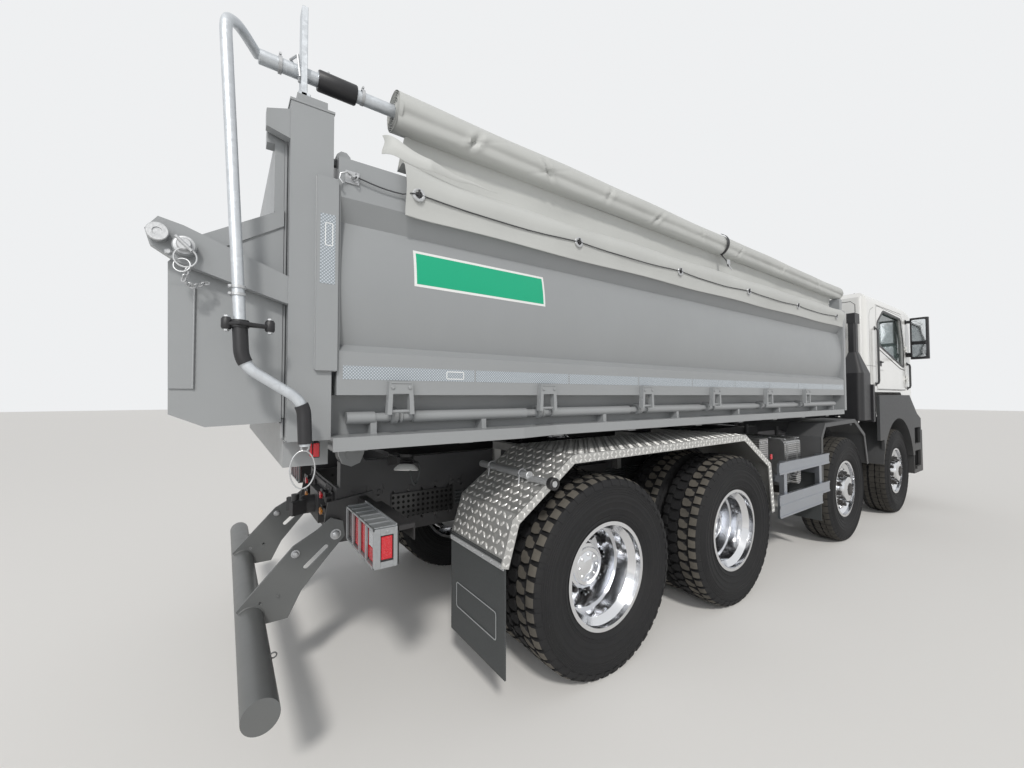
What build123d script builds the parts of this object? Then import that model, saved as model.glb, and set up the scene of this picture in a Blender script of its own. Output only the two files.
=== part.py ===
"""Four-axle tipper truck with a three-way steel body, folding rear guard and rolled tarpaulin.

Millimetres, +X forward, +Y to the truck's left, +Z up from the ground.
Stations are distances forward of the fourth axle; side_at, plan_at and cross_at turn them
into planes of the part's own frame, whose origin is under the middle of the truck.
"""
from build123d import *
from math import cos, radians, sin
import os

os.makedirs("parts", exist_ok=True)

# Overall reach
front_end = 7050.0
rear_end = -1980.0
origin_station = (front_end + rear_end) / 2

# Axles and wheels
first_axle = 5630.0
second_axle = 3750.0
third_axle = 1380.0
fourth_axle = 0.0
tyre_radius = 550.0
tyre_width = 300.0
tread_width = 250.0
bead_radius = 286.0
rim_flange_radius = 298.0
rim_width = 250.0
rim_wall = 9.0
tyre_seat_gap = 0.3
front_tyre_y = 1075.0
outer_tyre_y = 1098.0
inner_tyre_y = 756.0
hand_hole_circle_radius = 208.0
hand_hole_radius = 24.0
hand_hole_count = 10
spindle_gap = 1.0
front_spindle_radius = 45.0
rear_spindle_radius = 60.0

# Steering
kingpin_y = 870.0
kingpin_radius = 20.0
kingpin_gap = 0.5
beam_eye_radius = 55.0
beam_eye_height = 120.0
fork_gap = 6.0
fork_lug_height = 45.0

# Chassis frame
rail_outer_y = 400.0
rail_flange = 80.0
rail_web = 9.0
rail_bottom = 750.0
rail_top = 1050.0
rail_rear = -1250.0
rail_front = 6800.0
subframe_height = 140.0
subframe_front = 3500.0
subframe_outer_y = 425.0
subframe_width = 75.0

# Tipping hinge and cylinder
tip_hinge_x = -1200.0
tip_hinge_z = 1235.0
tip_shaft_radius = 30.0
tip_lug_radius = 62.0
running_gap = 0.5
seat_gap = 0.3
cylinder_x = 700.0
trunnion_z = 980.0
barrel_radius = 110.0
barrel_bottom = 700.0
barrel_top = 1180.0
stage_radii = (96.0, 80.0, 65.0, 50.0)
stage_wall = 12.0
stage_gap = 0.6
stage_step = 12.0
cylinder_eye_z = 1320.0
cylinder_eye_radius = 60.0
cylinder_pin_radius = 20.0
cylinder_eye_play = 26.0

# Load body
floor_bottom = 1400.0
floor_thick = 12.0
edge_drop = 3.0
body_rear = -1605.0
body_front = 3670.0
post_width = 140.0
post_outer_y = 1250.0
post_inner_y = 1150.0
post_bottom = 1400.0
post_top = 2585.0
front_post_width = 50.0
front_wall_thick = 30.0
front_wall_top = 2420.0
sill_height = 145.0
sill_outer_y = 420.0
sill_width = 70.0

# Side boards
board_gap = 18.0
board_hinge_y = 1185.0
board_hinge_z = 2440.0
hinge_pin_radius = 15.0
pin_reach = 62.0
board_outer_y = 1250.0
board_top = 2438.0
board_rail_bottom = 2290.0
panel_top = 2214.0
panel_bottom = 1750.0
panel_recess_y = 1202.0
panel_bulge_y = 1238.0
crease_z = 1720.0
board_bottom = 1560.0
board_inner_y = 1155.0
clamp_stations = (-1217.0, -476.0, 295.0, 1056.0, 1853.0, 2600.0)
clamp_width = 92.0
kerb_inner_y = 1140.0
kerb_gap = 6.0
kerb_top = 1590.0
lock_shaft_y = 1190.0
lock_shaft_z = 1472.0
lock_shaft_radius = 18.0
lock_cover_radius = 24.0
lock_ring_radius = 33.0
lock_rear = -1400.0
lock_front = 3480.0

# Tailgate
tailgate_pivot_x = -1645.0
tailgate_pivot_z = 2500.0
tailgate_gap = 12.0
cheek_y = 1200.0
cheek_thick = 12.0
gate_eye_radius = 26.0
arm_y_in = 1212.0
arm_y_out = 1244.0

# Tarpaulin
roll_y = 1170.0
roll_rear = -1220.0
roll_front = 3700.0
roll_rear_radius = 84.0
roll_front_radius = 70.0
roll_rear_z = 2741.0
roll_front_z = 2667.0
roll_tube_radius = 24.0
flap_y = board_outer_y + seat_gap
flap_rear = -1200.0
flap_front = 3560.0
flap_thick = 10.0
flap_bottom = 2270.0
flap_rear_top = 2630.0
flap_front_top = 2565.0
crank_y = 1350.0
crank_tube_radius = 19.0

# Underrun guard
guard_bar_x = -1663.0
guard_bar_z = 478.0
guard_bar_radius = 60.0
guard_bar_half = 1190.0
guard_pivot_x = -1277.0
guard_pivot_z = 816.0
guard_pin_radius = 15.0
guard_arm_y = 455.0
guard_arm_thick = 14.0

# Cab
cab_half = 1150.0
cab_rear = 4720.0
cab_front = 7020.0
cab_floor = 1600.0
cab_wall = 60.0
cab_floor_thick = 50.0
nose_bottom = 1235.0
cab_pivot_x = 6900.0
cab_pivot_z = 1130.0
cab_pin_radius = 25.0
door_rear = 5110.0
door_front = 6440.0
door_bottom = 1625.0
door_top = 2735.0
door_gap = 8.0
door_hinge_x = 6442.0
door_hinge_y = cab_half + 12.0
door_hinge_heights = (1760.0, 2190.0)
door_knuckle = 26.0
door_knuckle_radius = 11.0
door_pin_radius = 5.0
glass_thick = 6.0
glass_gap = 0.3
mirror_outer_y = cab_half + 250

# Mudguards, guards and lamps
fender_outer_y = 1250.0
fender_inner_y = 685.0
fender_thick = 6.0
arch_radius = 700.0
skirt_outer_y = 1240.0
skirt_thick = 30.0


def side_at(y):
    """Plane along the truck at height zero, facing its right side: local x is the station."""
    return Plane(origin=(-origin_station, y, 0), x_dir=(1, 0, 0), z_dir=(0, -1, 0))


def plan_at(z, station=0.0):
    """Level plane at height z: local x is measured forward from the station."""
    return Plane(origin=(station - origin_station, 0, z), x_dir=(1, 0, 0), z_dir=(0, 0, 1))


def cross_at(station):
    """Upright plane across the truck, facing forward: local x is Y and local y is height."""
    return Plane(origin=(station - origin_station, 0, 0), x_dir=(0, 1, 0), z_dir=(1, 0, 0))


def save(builder, name):
    builder.part.label = name
    export_step(builder.part, f"parts/{name}.step")


def box(x0, x1, y0, y1, z0, z1, mode=Mode.ADD):
    """Upright box between two corners, cut or added in the part being built."""
    with BuildSketch(plan_at(z0)) as outline:
        with Locations(((x0 + x1) / 2, (y0 + y1) / 2)):
            Rectangle(x1 - x0, abs(y1 - y0))
    extrude(outline.sketch, amount=z1 - z0, mode=mode)


def cross_rod(station, z, radius, y0, y1, mode=Mode.ADD):
    """Round bar or hole across the truck, from y0 to y1."""
    with BuildSketch(side_at(max(y0, y1))) as outline:
        with Locations((station, z)):
            Circle(radius)
    extrude(outline.sketch, amount=abs(y1 - y0), mode=mode)


def long_rod(x0, x1, y, z, radius, mode=Mode.ADD):
    """Round bar or hole along the truck, from station x0 to x1."""
    with BuildSketch(cross_at(x0)) as outline:
        with Locations((y, z)):
            Circle(radius)
    extrude(outline.sketch, amount=x1 - x0, mode=mode)


def post_rod(station, y, z0, z1, radius, mode=Mode.ADD):
    """Upright round bar or hole."""
    with BuildSketch(plan_at(z0)) as outline:
        with Locations((station, y)):
            Circle(radius)
    extrude(outline.sketch, amount=z1 - z0, mode=mode)


def side_plate(points, y0, y1, mode=Mode.ADD):
    """Plate with a side-view outline, between two distances from the centre line."""
    with BuildSketch(side_at(max(y0, y1))) as outline:
        with BuildLine():
            Polyline(*points, close=True)
        make_face()
    extrude(outline.sketch, amount=abs(y1 - y0), mode=mode)


def side_strip(points, thick, y0, y1):
    """Bent sheet that follows a side-view line."""
    with BuildSketch(side_at(max(y0, y1))) as outline:
        with BuildLine():
            Polyline(*points)
        trace(line_width=thick)
    extrude(outline.sketch, amount=abs(y1 - y0))


# Chassis frame with its end plate, cross tubes and drawbar coupling
rail_hole_columns = 12
rail_hole_pitch = 90.0
rail_hole_radius = 9.0
cross_tube_stations = (-620.0, 260.0, 1140.0, 2080.0, 3050.0, 3920.0)
cross_tube_radius = 55.0
cross_tube_z = 900.0
end_plate_thick = 14.0
coupling_z = 890.0
coupling_back = rail_rear - 130
guard_mount = [(guard_pivot_x - 33, 780), (guard_pivot_x + 37, 760), (guard_pivot_x + 197, 780),
               (guard_pivot_x + 197, 1010), (guard_pivot_x - 33, 980), (guard_pivot_x - 53, 850)]
with BuildPart() as frame:
    for side in (-1, 1):
        with BuildSketch(cross_at(rail_rear)):
            with Locations((side * (rail_outer_y - rail_flange / 2), (rail_bottom + rail_top) / 2)):
                Rectangle(rail_flange, rail_top - rail_bottom)
            with Locations((side * (rail_outer_y - rail_web - rail_flange / 2),
                            (rail_bottom + rail_top) / 2)):
                Rectangle(rail_flange, rail_top - rail_bottom - 2 * rail_web, mode=Mode.SUBTRACT)
        extrude(amount=rail_front - rail_rear)
    with BuildSketch(side_at(rail_outer_y + 1)):
        with Locations((rail_rear + 80 + rail_hole_pitch * rail_hole_columns / 2,
                        (rail_bottom + rail_top) / 2)):
            with GridLocations(rail_hole_pitch, 170, rail_hole_columns, 2):
                Circle(rail_hole_radius)
    extrude(amount=2 * rail_outer_y + 2, mode=Mode.SUBTRACT)
    box(rail_rear - end_plate_thick, rail_rear, -rail_outer_y, rail_outer_y, rail_bottom, rail_top)
    for station in cross_tube_stations:
        cross_rod(station, cross_tube_z, cross_tube_radius, -rail_outer_y + rail_web,
                  rail_outer_y - rail_web)
    box(rail_front - 60, rail_front, -rail_outer_y, rail_outer_y, rail_bottom + 20, rail_top - 20)
    for side in (-1, 1):
        side_plate(
            [(rail_front - 140, rail_top - 60), (rail_front, rail_top - 60),
             (cab_pivot_x + 40, cab_pivot_z - 30), (cab_pivot_x + 40, cab_pivot_z + 30),
             (cab_pivot_x - 40, cab_pivot_z + 30), (rail_front - 140, rail_top)],
            side * (rail_outer_y - 4), side * (rail_outer_y + 20))
        side_plate(guard_mount, side * rail_outer_y, side * (rail_outer_y + 16))
        cross_rod(guard_pivot_x, guard_pivot_z, guard_pin_radius, side * (rail_outer_y + 15),
                  side * (guard_arm_y + 12))
    box(rail_rear - 60, rail_rear - end_plate_thick, -140, 140, coupling_z - 90, coupling_z + 90)
    long_rod(coupling_back, rail_rear - 60, 0, coupling_z, 55)
    with BuildSketch(plan_at(coupling_z - 40)):
        with BuildLine():
            Polyline((coupling_back + 20, -55), (coupling_back - 60, -95), (coupling_back - 75, -70),
                     (coupling_back - 20, -28), (coupling_back - 20, 28), (coupling_back - 75, 70),
                     (coupling_back - 60, 95), (coupling_back + 20, 55), close=True)
        make_face()
    extrude(amount=80)
    post_rod(coupling_back - 35, 0, coupling_z - 55, coupling_z + 70, 22)
    cross_rod(cab_pivot_x, cab_pivot_z, cab_pin_radius + running_gap, -rail_outer_y - 60,
              rail_outer_y + 60, Mode.SUBTRACT)
save(frame, "chassis_frame")

# Tipping subframe with hinge lugs and the cylinder's cradle
subframe_bottom = rail_top
subframe_top = subframe_bottom + subframe_height
cradle_y = 150.0
cradle_thick = 26.0
cradle_reach = 260.0
trunnion_radius = 25.0
with BuildPart() as subframe:
    for side in (-1, 1):
        y_mid = side * (subframe_outer_y - subframe_width / 2)
        with BuildSketch(cross_at(rail_rear)):
            with Locations((y_mid, (subframe_bottom + subframe_top) / 2)):
                Rectangle(subframe_width, subframe_height)
        extrude(amount=subframe_front - rail_rear)
        cross_rod(tip_hinge_x, tip_hinge_z, tip_lug_radius, side * (subframe_outer_y - subframe_width),
                  side * subframe_outer_y)
        side_plate(
            [(tip_hinge_x - 45, subframe_top - 20), (tip_hinge_x + 90, subframe_top - 20),
             (tip_hinge_x + 60, tip_hinge_z), (tip_hinge_x - 45, tip_hinge_z)],
            side * (subframe_outer_y - subframe_width), side * subframe_outer_y)
        side_plate(
            [(cylinder_x - cradle_reach - 30, subframe_top), (cylinder_x - cradle_reach - 30, 1060),
             (cylinder_x - 80, trunnion_z - 70), (cylinder_x + 80, trunnion_z - 70),
             (cylinder_x + cradle_reach + 30, 1060), (cylinder_x + cradle_reach + 30, subframe_top)],
            side * cradle_y, side * (cradle_y + cradle_thick))
    for station in (cylinder_x - cradle_reach, cylinder_x + cradle_reach):
        cross_rod(station, 1120, 40, -(subframe_outer_y - subframe_width),
                  subframe_outer_y - subframe_width)
    for station in (-900.0, 1900.0, 2700.0, 3460.0):
        box(station - 30, station + 30, -(subframe_outer_y - subframe_width),
            subframe_outer_y - subframe_width, subframe_bottom + 30, subframe_top - 10)
    cross_rod(tip_hinge_x, tip_hinge_z, tip_shaft_radius + running_gap, -subframe_outer_y - 5,
              subframe_outer_y + 5, Mode.SUBTRACT)
    cross_rod(cylinder_x, trunnion_z, trunnion_radius + running_gap, -cradle_y - 40, cradle_y + 40,
              Mode.SUBTRACT)
save(subframe, "tipping_subframe")


# Steered axles: forged beams with leaf springs and hangers
def leaf_pack(station, y_mid, width, half_length, z_mid, z_end, thick):
    """Leaf spring as one curved band, level at its middle."""
    with BuildSketch(side_at(y_mid + width / 2)) as outline:
        with BuildLine():
            lower = ThreePointArc((station - half_length, z_end), (station, z_mid),
                                  (station + half_length, z_end))
            Line(lower @ 1, (station + half_length, z_end + thick * 0.4))
            upper = ThreePointArc((station + half_length, z_end + thick * 0.4),
                                  (station, z_mid + thick), (station - half_length, z_end + thick * 0.4))
            Line(upper @ 1, lower @ 0)
        make_face()
    extrude(outline.sketch, amount=width)


spring_y = 360.0
spring_z = 620.0
spring_reach = 800.0
with BuildPart() as front_axles:
    for axle in (first_axle, second_axle):
        with BuildSketch(cross_at(axle - 45)):
            with BuildLine():
                Polyline((-kingpin_y, 600), (-kingpin_y, 510), (-kingpin_y + 70, 500), (-640, 395),
                         (-300, 380), (300, 380), (640, 395), (kingpin_y - 70, 500),
                         (kingpin_y, 510), (kingpin_y, 600),
                         (700, 500), (300, 480), (-300, 480), (-700, 500), close=True)
            make_face()
        extrude(amount=90)
        for side in (-1, 1):
            eye_low = tyre_radius - beam_eye_height / 2
            post_rod(axle, side * kingpin_y, eye_low, eye_low + beam_eye_height, beam_eye_radius)
            post_rod(axle, side * kingpin_y, 300, 800, kingpin_radius + kingpin_gap, Mode.SUBTRACT)
            box(axle - 70, axle + 70, side * spring_y - 45, side * spring_y + 45, 470, spring_z + 2)
            leaf_pack(axle, side * spring_y, 80, spring_reach, spring_z, spring_z + 70, 70)
            for end in (-1, 1):
                hanger = axle + end * spring_reach
                box(hanger - 30, hanger + 30, side * spring_y - 40, side * spring_y + 40, spring_z + 75,
                    rail_bottom)
save(front_axles, "steered_axles")

# Driven axles with brake chambers, bogie springs and the shafts between them
propshaft_z = 600.0
propshaft_front = 4080.0
bogie_spring_y = 500.0
brake_reach = 270.0
brake_y = 300.0
brake_z = 620.0
brake_radius = 78.0
with BuildPart() as rear_axles:
    for axle in (third_axle, fourth_axle):
        cross_rod(axle, tyre_radius, 75, -600, 600)
        cross_rod(axle, tyre_radius, rear_spindle_radius, -1000, 1000)
        with BuildSketch(plan_at(tyre_radius, axle)):
            with BuildLine():
                Line((0, -320), (0, 320))
                Line((0, 320), (75, 320))
                ThreePointArc((75, 320), (225, 0), (75, -320))
                Line((75, -320), (0, -320))
            make_face()
        revolve(axis=Axis((axle - origin_station, 0, tyre_radius), (0, 1, 0)))
        long_rod(axle + 150, axle + 330, 0, propshaft_z, 90)
        for side in (-1, 1):
            box(axle - 70, axle + 70, side * bogie_spring_y - 55, side * bogie_spring_y + 55, 600, 690)
            long_rod(axle - brake_reach, axle - brake_reach + 95, side * brake_y, brake_z, brake_radius)
            long_rod(axle - brake_reach + 90, axle - 40, side * brake_y, brake_z, brake_radius - 28)
    long_rod(fourth_axle + 330, third_axle - 180, 0, propshaft_z, 45)
    long_rod(third_axle + 330, propshaft_front, 0, propshaft_z, 50)
    middle = (third_axle + fourth_axle) / 2
    for side in (-1, 1):
        with BuildSketch(side_at(side * bogie_spring_y + 45)):
            with BuildLine():
                low = ThreePointArc((fourth_axle - 60, 690), (middle, 740), (third_axle + 60, 690))
                Line(low @ 1, (third_axle + 60, 730))
                high = ThreePointArc((third_axle + 60, 730), (middle, 870), (fourth_axle - 60, 730))
                Line(high @ 1, low @ 0)
            make_face()
        extrude(amount=90)
        side_plate([(middle - 180, 1000), (middle + 180, 1000), (middle + 80, 870),
                    (middle + 80, 640), (middle - 80, 640), (middle - 80, 870)],
                   side * (rail_outer_y + 0.3), side * 450)
        cross_rod(middle, 700, 55, side * 449, side * 560)
save(rear_axles, "driven_axles")

# Engine with gearbox and radiator, as plain blocks
engine_half = 300.0
engine_front = 6150.0
gearbox_rear = 4080.0
gearbox_front = 5050.0
gearbox_z = 820.0
gearbox_radius = 220.0
radiator_rear = 6420.0
radiator_thick = 140.0
with BuildPart() as engine:
    box(gearbox_front, engine_front, -engine_half, engine_half, 640, 1500)
    long_rod(gearbox_rear, gearbox_front, 0, gearbox_z, gearbox_radius)
    box(radiator_rear, radiator_rear + radiator_thick, 10 - engine_half, engine_half - 10, 800, 1280)
    box(engine_front, radiator_rear, -120, 120, 950, 1200)
save(engine, "engine_block")

# Steering knuckles with their kingpins and spindles
steered_wheels = (
    # name, axle, side
    ("first_right", first_axle, -1),
    ("first_left", first_axle, 1),
    ("second_right", second_axle, -1),
    ("second_left", second_axle, 1),
)
lug_low = tyre_radius - beam_eye_height / 2 - fork_gap - fork_lug_height
lug_high = tyre_radius + beam_eye_height / 2 + fork_gap + fork_lug_height
knuckle_face_y = 962.0
for name, axle, side in steered_wheels:
    with BuildPart() as knuckle:
        post_rod(axle, side * kingpin_y, lug_low, lug_high, kingpin_radius)
        for low in (lug_low, lug_high - fork_lug_height):
            post_rod(axle, side * kingpin_y, low, low + fork_lug_height, 46)
            with BuildSketch(plan_at(low)):
                with Locations((axle, side * (kingpin_y + knuckle_face_y) / 2)):
                    Rectangle(92, knuckle_face_y - kingpin_y)
            extrude(amount=fork_lug_height)
        box(axle - 60, axle + 60, side * (kingpin_y + beam_eye_radius + 12), side * knuckle_face_y,
            lug_low, lug_high)
        cross_rod(axle, tyre_radius, front_spindle_radius, side * (knuckle_face_y - 5),
                  side * (front_tyre_y + 105))
    save(knuckle, f"knuckle_{name}")


# Wheels
def tyre_solid(axle, y_mid):
    """Carcass of one tyre, flat-faced where the belts are and folded in at the beads."""
    inner = bead_radius + tyre_seat_gap
    with BuildSketch(plan_at(tyre_radius, axle)) as outline:
        with BuildLine():
            Polyline((inner, y_mid - 100), (inner, y_mid - 118), (rim_flange_radius + 4, y_mid - 119),
                     (rim_flange_radius + 22, y_mid - 134), (330, y_mid - 138),
                     (430, y_mid - tyre_width / 2), (505, y_mid - 144),
                     (tyre_radius - 12, y_mid - tread_width / 2 - 6),
                     (tyre_radius, y_mid - tread_width / 2 + 14),
                     (tyre_radius, y_mid + tread_width / 2 - 14),
                     (tyre_radius - 12, y_mid + tread_width / 2 + 6),
                     (505, y_mid + 144), (430, y_mid + tyre_width / 2), (330, y_mid + 138),
                     (rim_flange_radius + 22, y_mid + 134), (rim_flange_radius + 4, y_mid + 119),
                     (inner, y_mid + 118), (inner, y_mid + 100), (320, y_mid + 108),
                     (430, y_mid + 125), (520, y_mid + 105), (520, y_mid - 105),
                     (430, y_mid - 125), (320, y_mid - 108), close=True)
        make_face()
    revolve(outline.sketch, axis=Axis((axle - origin_station, 0, tyre_radius), (0, 1, 0)))


def rim_barrel(axle, y_mid):
    """Drop-centre rim between the beads of one tyre."""
    half = rim_width / 2
    seat = bead_radius
    with BuildSketch(plan_at(tyre_radius, axle)) as outline:
        with BuildLine():
            Polyline((rim_flange_radius, y_mid - half), (rim_flange_radius, y_mid - half + 4),
                     (seat, y_mid - half + 5), (seat, y_mid - 95), (254, y_mid - 60),
                     (254, y_mid + 60), (seat, y_mid + 95), (seat, y_mid + half - 5),
                     (rim_flange_radius, y_mid + half - 4), (rim_flange_radius, y_mid + half),
                     (seat - rim_wall, y_mid + half), (seat - rim_wall, y_mid + 92),
                     (254 - rim_wall, y_mid + 56), (254 - rim_wall, y_mid - 56),
                     (seat - rim_wall, y_mid - 92), (seat - rim_wall, y_mid - half), close=True)
        make_face()
    revolve(outline.sketch, axis=Axis((axle - origin_station, 0, tyre_radius), (0, 1, 0)))


def wheel_disc(axle, side, rim_y, hub_y, thick, back_radius, spindle_radius, cap_y):
    """Dished disc from the rim to the hub, with hand holes and a hub cap. y grows outward."""
    with BuildSketch(plan_at(tyre_radius, axle)) as outline:
        with BuildLine():
            Polyline((250, side * rim_y), (232, side * rim_y), (215, side * hub_y),
                     (140, side * hub_y), (128, side * cap_y), (70, side * (cap_y + 12)),
                     (spindle_radius + spindle_gap, side * (cap_y + 12)),
                     (spindle_radius + spindle_gap, side * (hub_y - thick - 60)),
                     (140, side * (hub_y - thick - 60)), (140, side * (hub_y - thick)),
                     (back_radius, side * (hub_y - thick)),
                     (back_radius + 17, side * (rim_y - thick - 6)),
                     (250, side * (rim_y - thick - 6)), close=True)
        make_face()
    revolve(outline.sketch, axis=Axis((axle - origin_station, 0, tyre_radius), (0, 1, 0)))


def hand_holes(axle, side, y_low, y_high):
    with BuildSketch(side_at(max(side * y_low, side * y_high))) as outline:
        with Locations((axle, tyre_radius)):
            with PolarLocations(hand_hole_circle_radius, hand_hole_count):
                Circle(hand_hole_radius)
    extrude(outline.sketch, amount=y_high - y_low, mode=Mode.SUBTRACT)


for name, axle, side in steered_wheels:
    with BuildPart() as tyre:
        tyre_solid(axle, side * front_tyre_y)
    save(tyre, f"tyre_{name}")
    with BuildPart() as rim:
        rim_barrel(axle, side * front_tyre_y)
        wheel_disc(axle, side, front_tyre_y + 60, front_tyre_y + 92, 14, 205,
                   front_spindle_radius, front_tyre_y + 150)
        hand_holes(axle, side, front_tyre_y + 30, front_tyre_y + 110)
    save(rim, f"rim_{name}")

twin_wheels = (
    ("third_right", third_axle, -1),
    ("third_left", third_axle, 1),
    ("fourth_right", fourth_axle, -1),
    ("fourth_left", fourth_axle, 1),
)
dual_face_y = (outer_tyre_y + inner_tyre_y) / 2
for name, axle, side in twin_wheels:
    with BuildPart() as tyres:
        tyre_solid(axle, side * outer_tyre_y)
        tyre_solid(axle, side * inner_tyre_y)
    save(tyres, f"tyres_{name}")
    with BuildPart() as rims:
        rim_barrel(axle, side * outer_tyre_y)
        rim_barrel(axle, side * inner_tyre_y)
        wheel_disc(axle, side, outer_tyre_y - 38, dual_face_y + 14, 14, 229,
                   rear_spindle_radius, dual_face_y + 120)
        with BuildSketch(plan_at(tyre_radius, axle)):
            with BuildLine():
                Polyline((215, side * dual_face_y), (150, side * dual_face_y),
                         (150, side * (dual_face_y - 14)), (208, side * (dual_face_y - 14)),
                         (232, side * (inner_tyre_y + 50)), (250, side * (inner_tyre_y + 50)),
                         (250, side * (inner_tyre_y + 68)), (240, side * (inner_tyre_y + 68)),
                         close=True)
            make_face()
        revolve(axis=Axis((axle - origin_station, 0, tyre_radius), (0, 1, 0)))
        with BuildSketch(plan_at(tyre_radius, axle)):
            with BuildLine():
                Polyline((150, side * dual_face_y), (150, side * 640), (205, side * 640),
                         (205, side * 612), (rear_spindle_radius + 16, side * 612),
                         (rear_spindle_radius + 16, side * 660), (130, side * 660),
                         (130, side * dual_face_y), close=True)
            make_face()
        revolve(axis=Axis((axle - origin_station, 0, tyre_radius), (0, 1, 0)))
        hand_holes(axle, side, dual_face_y - 20, dual_face_y + 60)
    save(rims, f"rims_{name}")

# Rear mudguards in chequer plate, one over both driven axles on each side
rear_fender_line = [(fourth_axle - 700, 790), (fourth_axle - 633, 993), (fourth_axle - 271, 1247),
                    (third_axle + 126, 1254), (third_axle + 532, 1000), (third_axle + 586, 600)]
rear_lip_line = [(fourth_axle - 716, 765), (fourth_axle - 652, 968), (fourth_axle - 285, 1225),
                 (third_axle + 116, 1232), (third_axle + 510, 990), (third_axle + 564, 600)]
fender_brackets = (
    # station, top
    (fourth_axle - 240, 1247.0),
    (third_axle - 390, 1252.0),
    (third_axle + 100, 1253.0),
)
bracket_leg_y = 428.0
with BuildPart() as rear_fenders:
    for side in (-1, 1):
        side_strip(rear_fender_line, fender_thick, side * fender_inner_y, side * fender_outer_y)
        side_strip(rear_lip_line, 44, side * (fender_outer_y - 8), side * fender_outer_y)
        for station, bracket_top in fender_brackets:
            box(station - 25, station + 25, side * bracket_leg_y, side * 1180, 1200, bracket_top)
            box(station - 25, station + 25, side * bracket_leg_y, side * (bracket_leg_y + 24), 940,
                bracket_top)
            box(station - 25, station + 25, side * rail_outer_y, side * bracket_leg_y, 940, 1040)
save(rear_fenders, "rear_fenders")

# Rubber flaps behind the driven wheels and behind the second axle
rear_flap_x = fourth_axle - 711
second_flap_x = second_axle - 714
with BuildPart() as mud_flaps:
    for side in (-1, 1):
        box(rear_flap_x, rear_flap_x + 8, side * 700, side * 1240, 255, 792)
        box(rear_flap_x + 8, rear_flap_x + 14, side * 720, side * 1230, 730, 786)
        box(second_flap_x, second_flap_x + 8, side * 930, side * 1215, 330, 800)
        with BuildSketch(cross_at(rear_flap_x - 2)):
            with Locations((side * 970, 470)):
                Rectangle(400, 130)
                Rectangle(386, 116, mode=Mode.SUBTRACT)
        extrude(amount=3)
save(mud_flaps, "mud_flaps")

# Mudguards over the second axle
second_fender_y = 1222.0
second_fender_line = [(second_axle + x, z) for x, z in (
    (-698, 700), (-690, 1150), (-590, 1272), (260, 1290), (580, 1110), (680, 760))]
second_lip_line = [(second_axle + x, z) for x, z in (
    (-686, 700), (-676, 1142), (-582, 1258), (254, 1274), (568, 1100), (666, 760))]
with BuildPart() as second_fenders:
    for side in (-1, 1):
        side_strip(second_fender_line, fender_thick, side * 900, side * second_fender_y)
        side_strip(second_lip_line, 40, side * (second_fender_y - 8), side * second_fender_y)
        for station, bracket_top in ((second_axle - 550, 1272.0), (second_axle + 210, 1288.0)):
            box(station - 25, station + 25, side * bracket_leg_y, side * 1200, 1225, bracket_top)
            box(station - 25, station + 25, side * bracket_leg_y, side * (bracket_leg_y + 24), 940,
                bracket_top)
            box(station - 25, station + 25, side * rail_outer_y, side * bracket_leg_y, 940, 1040)
save(second_fenders, "second_axle_fenders")

# Side guards: aluminium planks on three posts a side
guard_post_stations = (third_axle + 850, second_axle - 755)
guard_rear = third_axle + 690
guard_step = second_axle - 770
plank_groove = 4.0
plank_grooves = ((903.0, 967.0), (536.0, 600.0), (628.0, 696.0))
guard_front = second_axle - 590
plank_inner_y = 1228.0
plank_outer_y = 1250.0
with BuildPart() as side_guards:
    for side in (-1, 1):
        outer = side * plank_outer_y
        inner = side * plank_inner_y
        box(guard_rear, guard_front, inner, outer, 885, 985)
        box(guard_rear, guard_step, inner, outer, 520, 712)
        box(guard_step, guard_front, inner, outer, 612, 712)
        groove_inner = side * (plank_outer_y - plank_groove)
        for low, high in plank_grooves:
            box(guard_rear, guard_front, groove_inner, outer + side, low, high, Mode.SUBTRACT)
        for station in guard_post_stations:
            box(station - 28, station + 28, side * rail_outer_y, inner, 800, 860)
            box(station - 28, station + 28, side * 1188, inner, 530, 985)
save(side_guards, "side_guards")

# Silencer and battery box, right; fuel tank, left
silencer_rear = third_axle + 1060
silencer_front = second_axle - 970
fuel_tank_rear = third_axle + 950
fuel_tank_front = second_axle - 800
battery_rear = third_axle + 605
battery_length = 155.0
side_tank_rear = second_axle + 810
side_tank_front = first_axle - 710
with BuildPart() as tanks:
    with BuildSketch(cross_at(silencer_rear)):
        with Locations((-880, 940)):
            RectangleRounded(520, 430, 60)
    extrude(amount=silencer_front - silencer_rear)
    with BuildSketch(cross_at(fuel_tank_rear)):
        with Locations((880, 870)):
            RectangleRounded(520, 560, 90)
    extrude(amount=fuel_tank_front - fuel_tank_rear)
    for station in (fuel_tank_rear + 90, fuel_tank_front - 140):
        with BuildSketch(cross_at(station)):
            with Locations((880, 870)):
                RectangleRounded(528, 568, 94)
        extrude(amount=50)
    post_rod(fuel_tank_rear + 240, 900, 1149, 1186, 52)
    for station in (silencer_rear + 40, silencer_front - 80):
        with BuildSketch(cross_at(station)):
            with Locations((-880, 940)):
                RectangleRounded(530, 440, 64)
        extrude(amount=40)
    cross_rod(silencer_front - 170, 790, 50, -1135, -1185)
    for side in (-1, 1):
        for station in (silencer_rear + 50, silencer_front - 70):
            box(station - 30, station + 30, side * rail_outer_y, side * 625, 780, 840)
    box(battery_rear, battery_rear + battery_length, -1130, -640, 560, 1180)
    box(battery_rear + 35, battery_rear + 115, -640, -rail_outer_y, 900, 980)
    box(side_tank_rear, side_tank_front, 500, 820, 620, 1080)
    box(side_tank_rear + 40, side_tank_rear + 100, rail_outer_y, 500, 820, 900)
save(tanks, "tanks_and_silencer")

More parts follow.
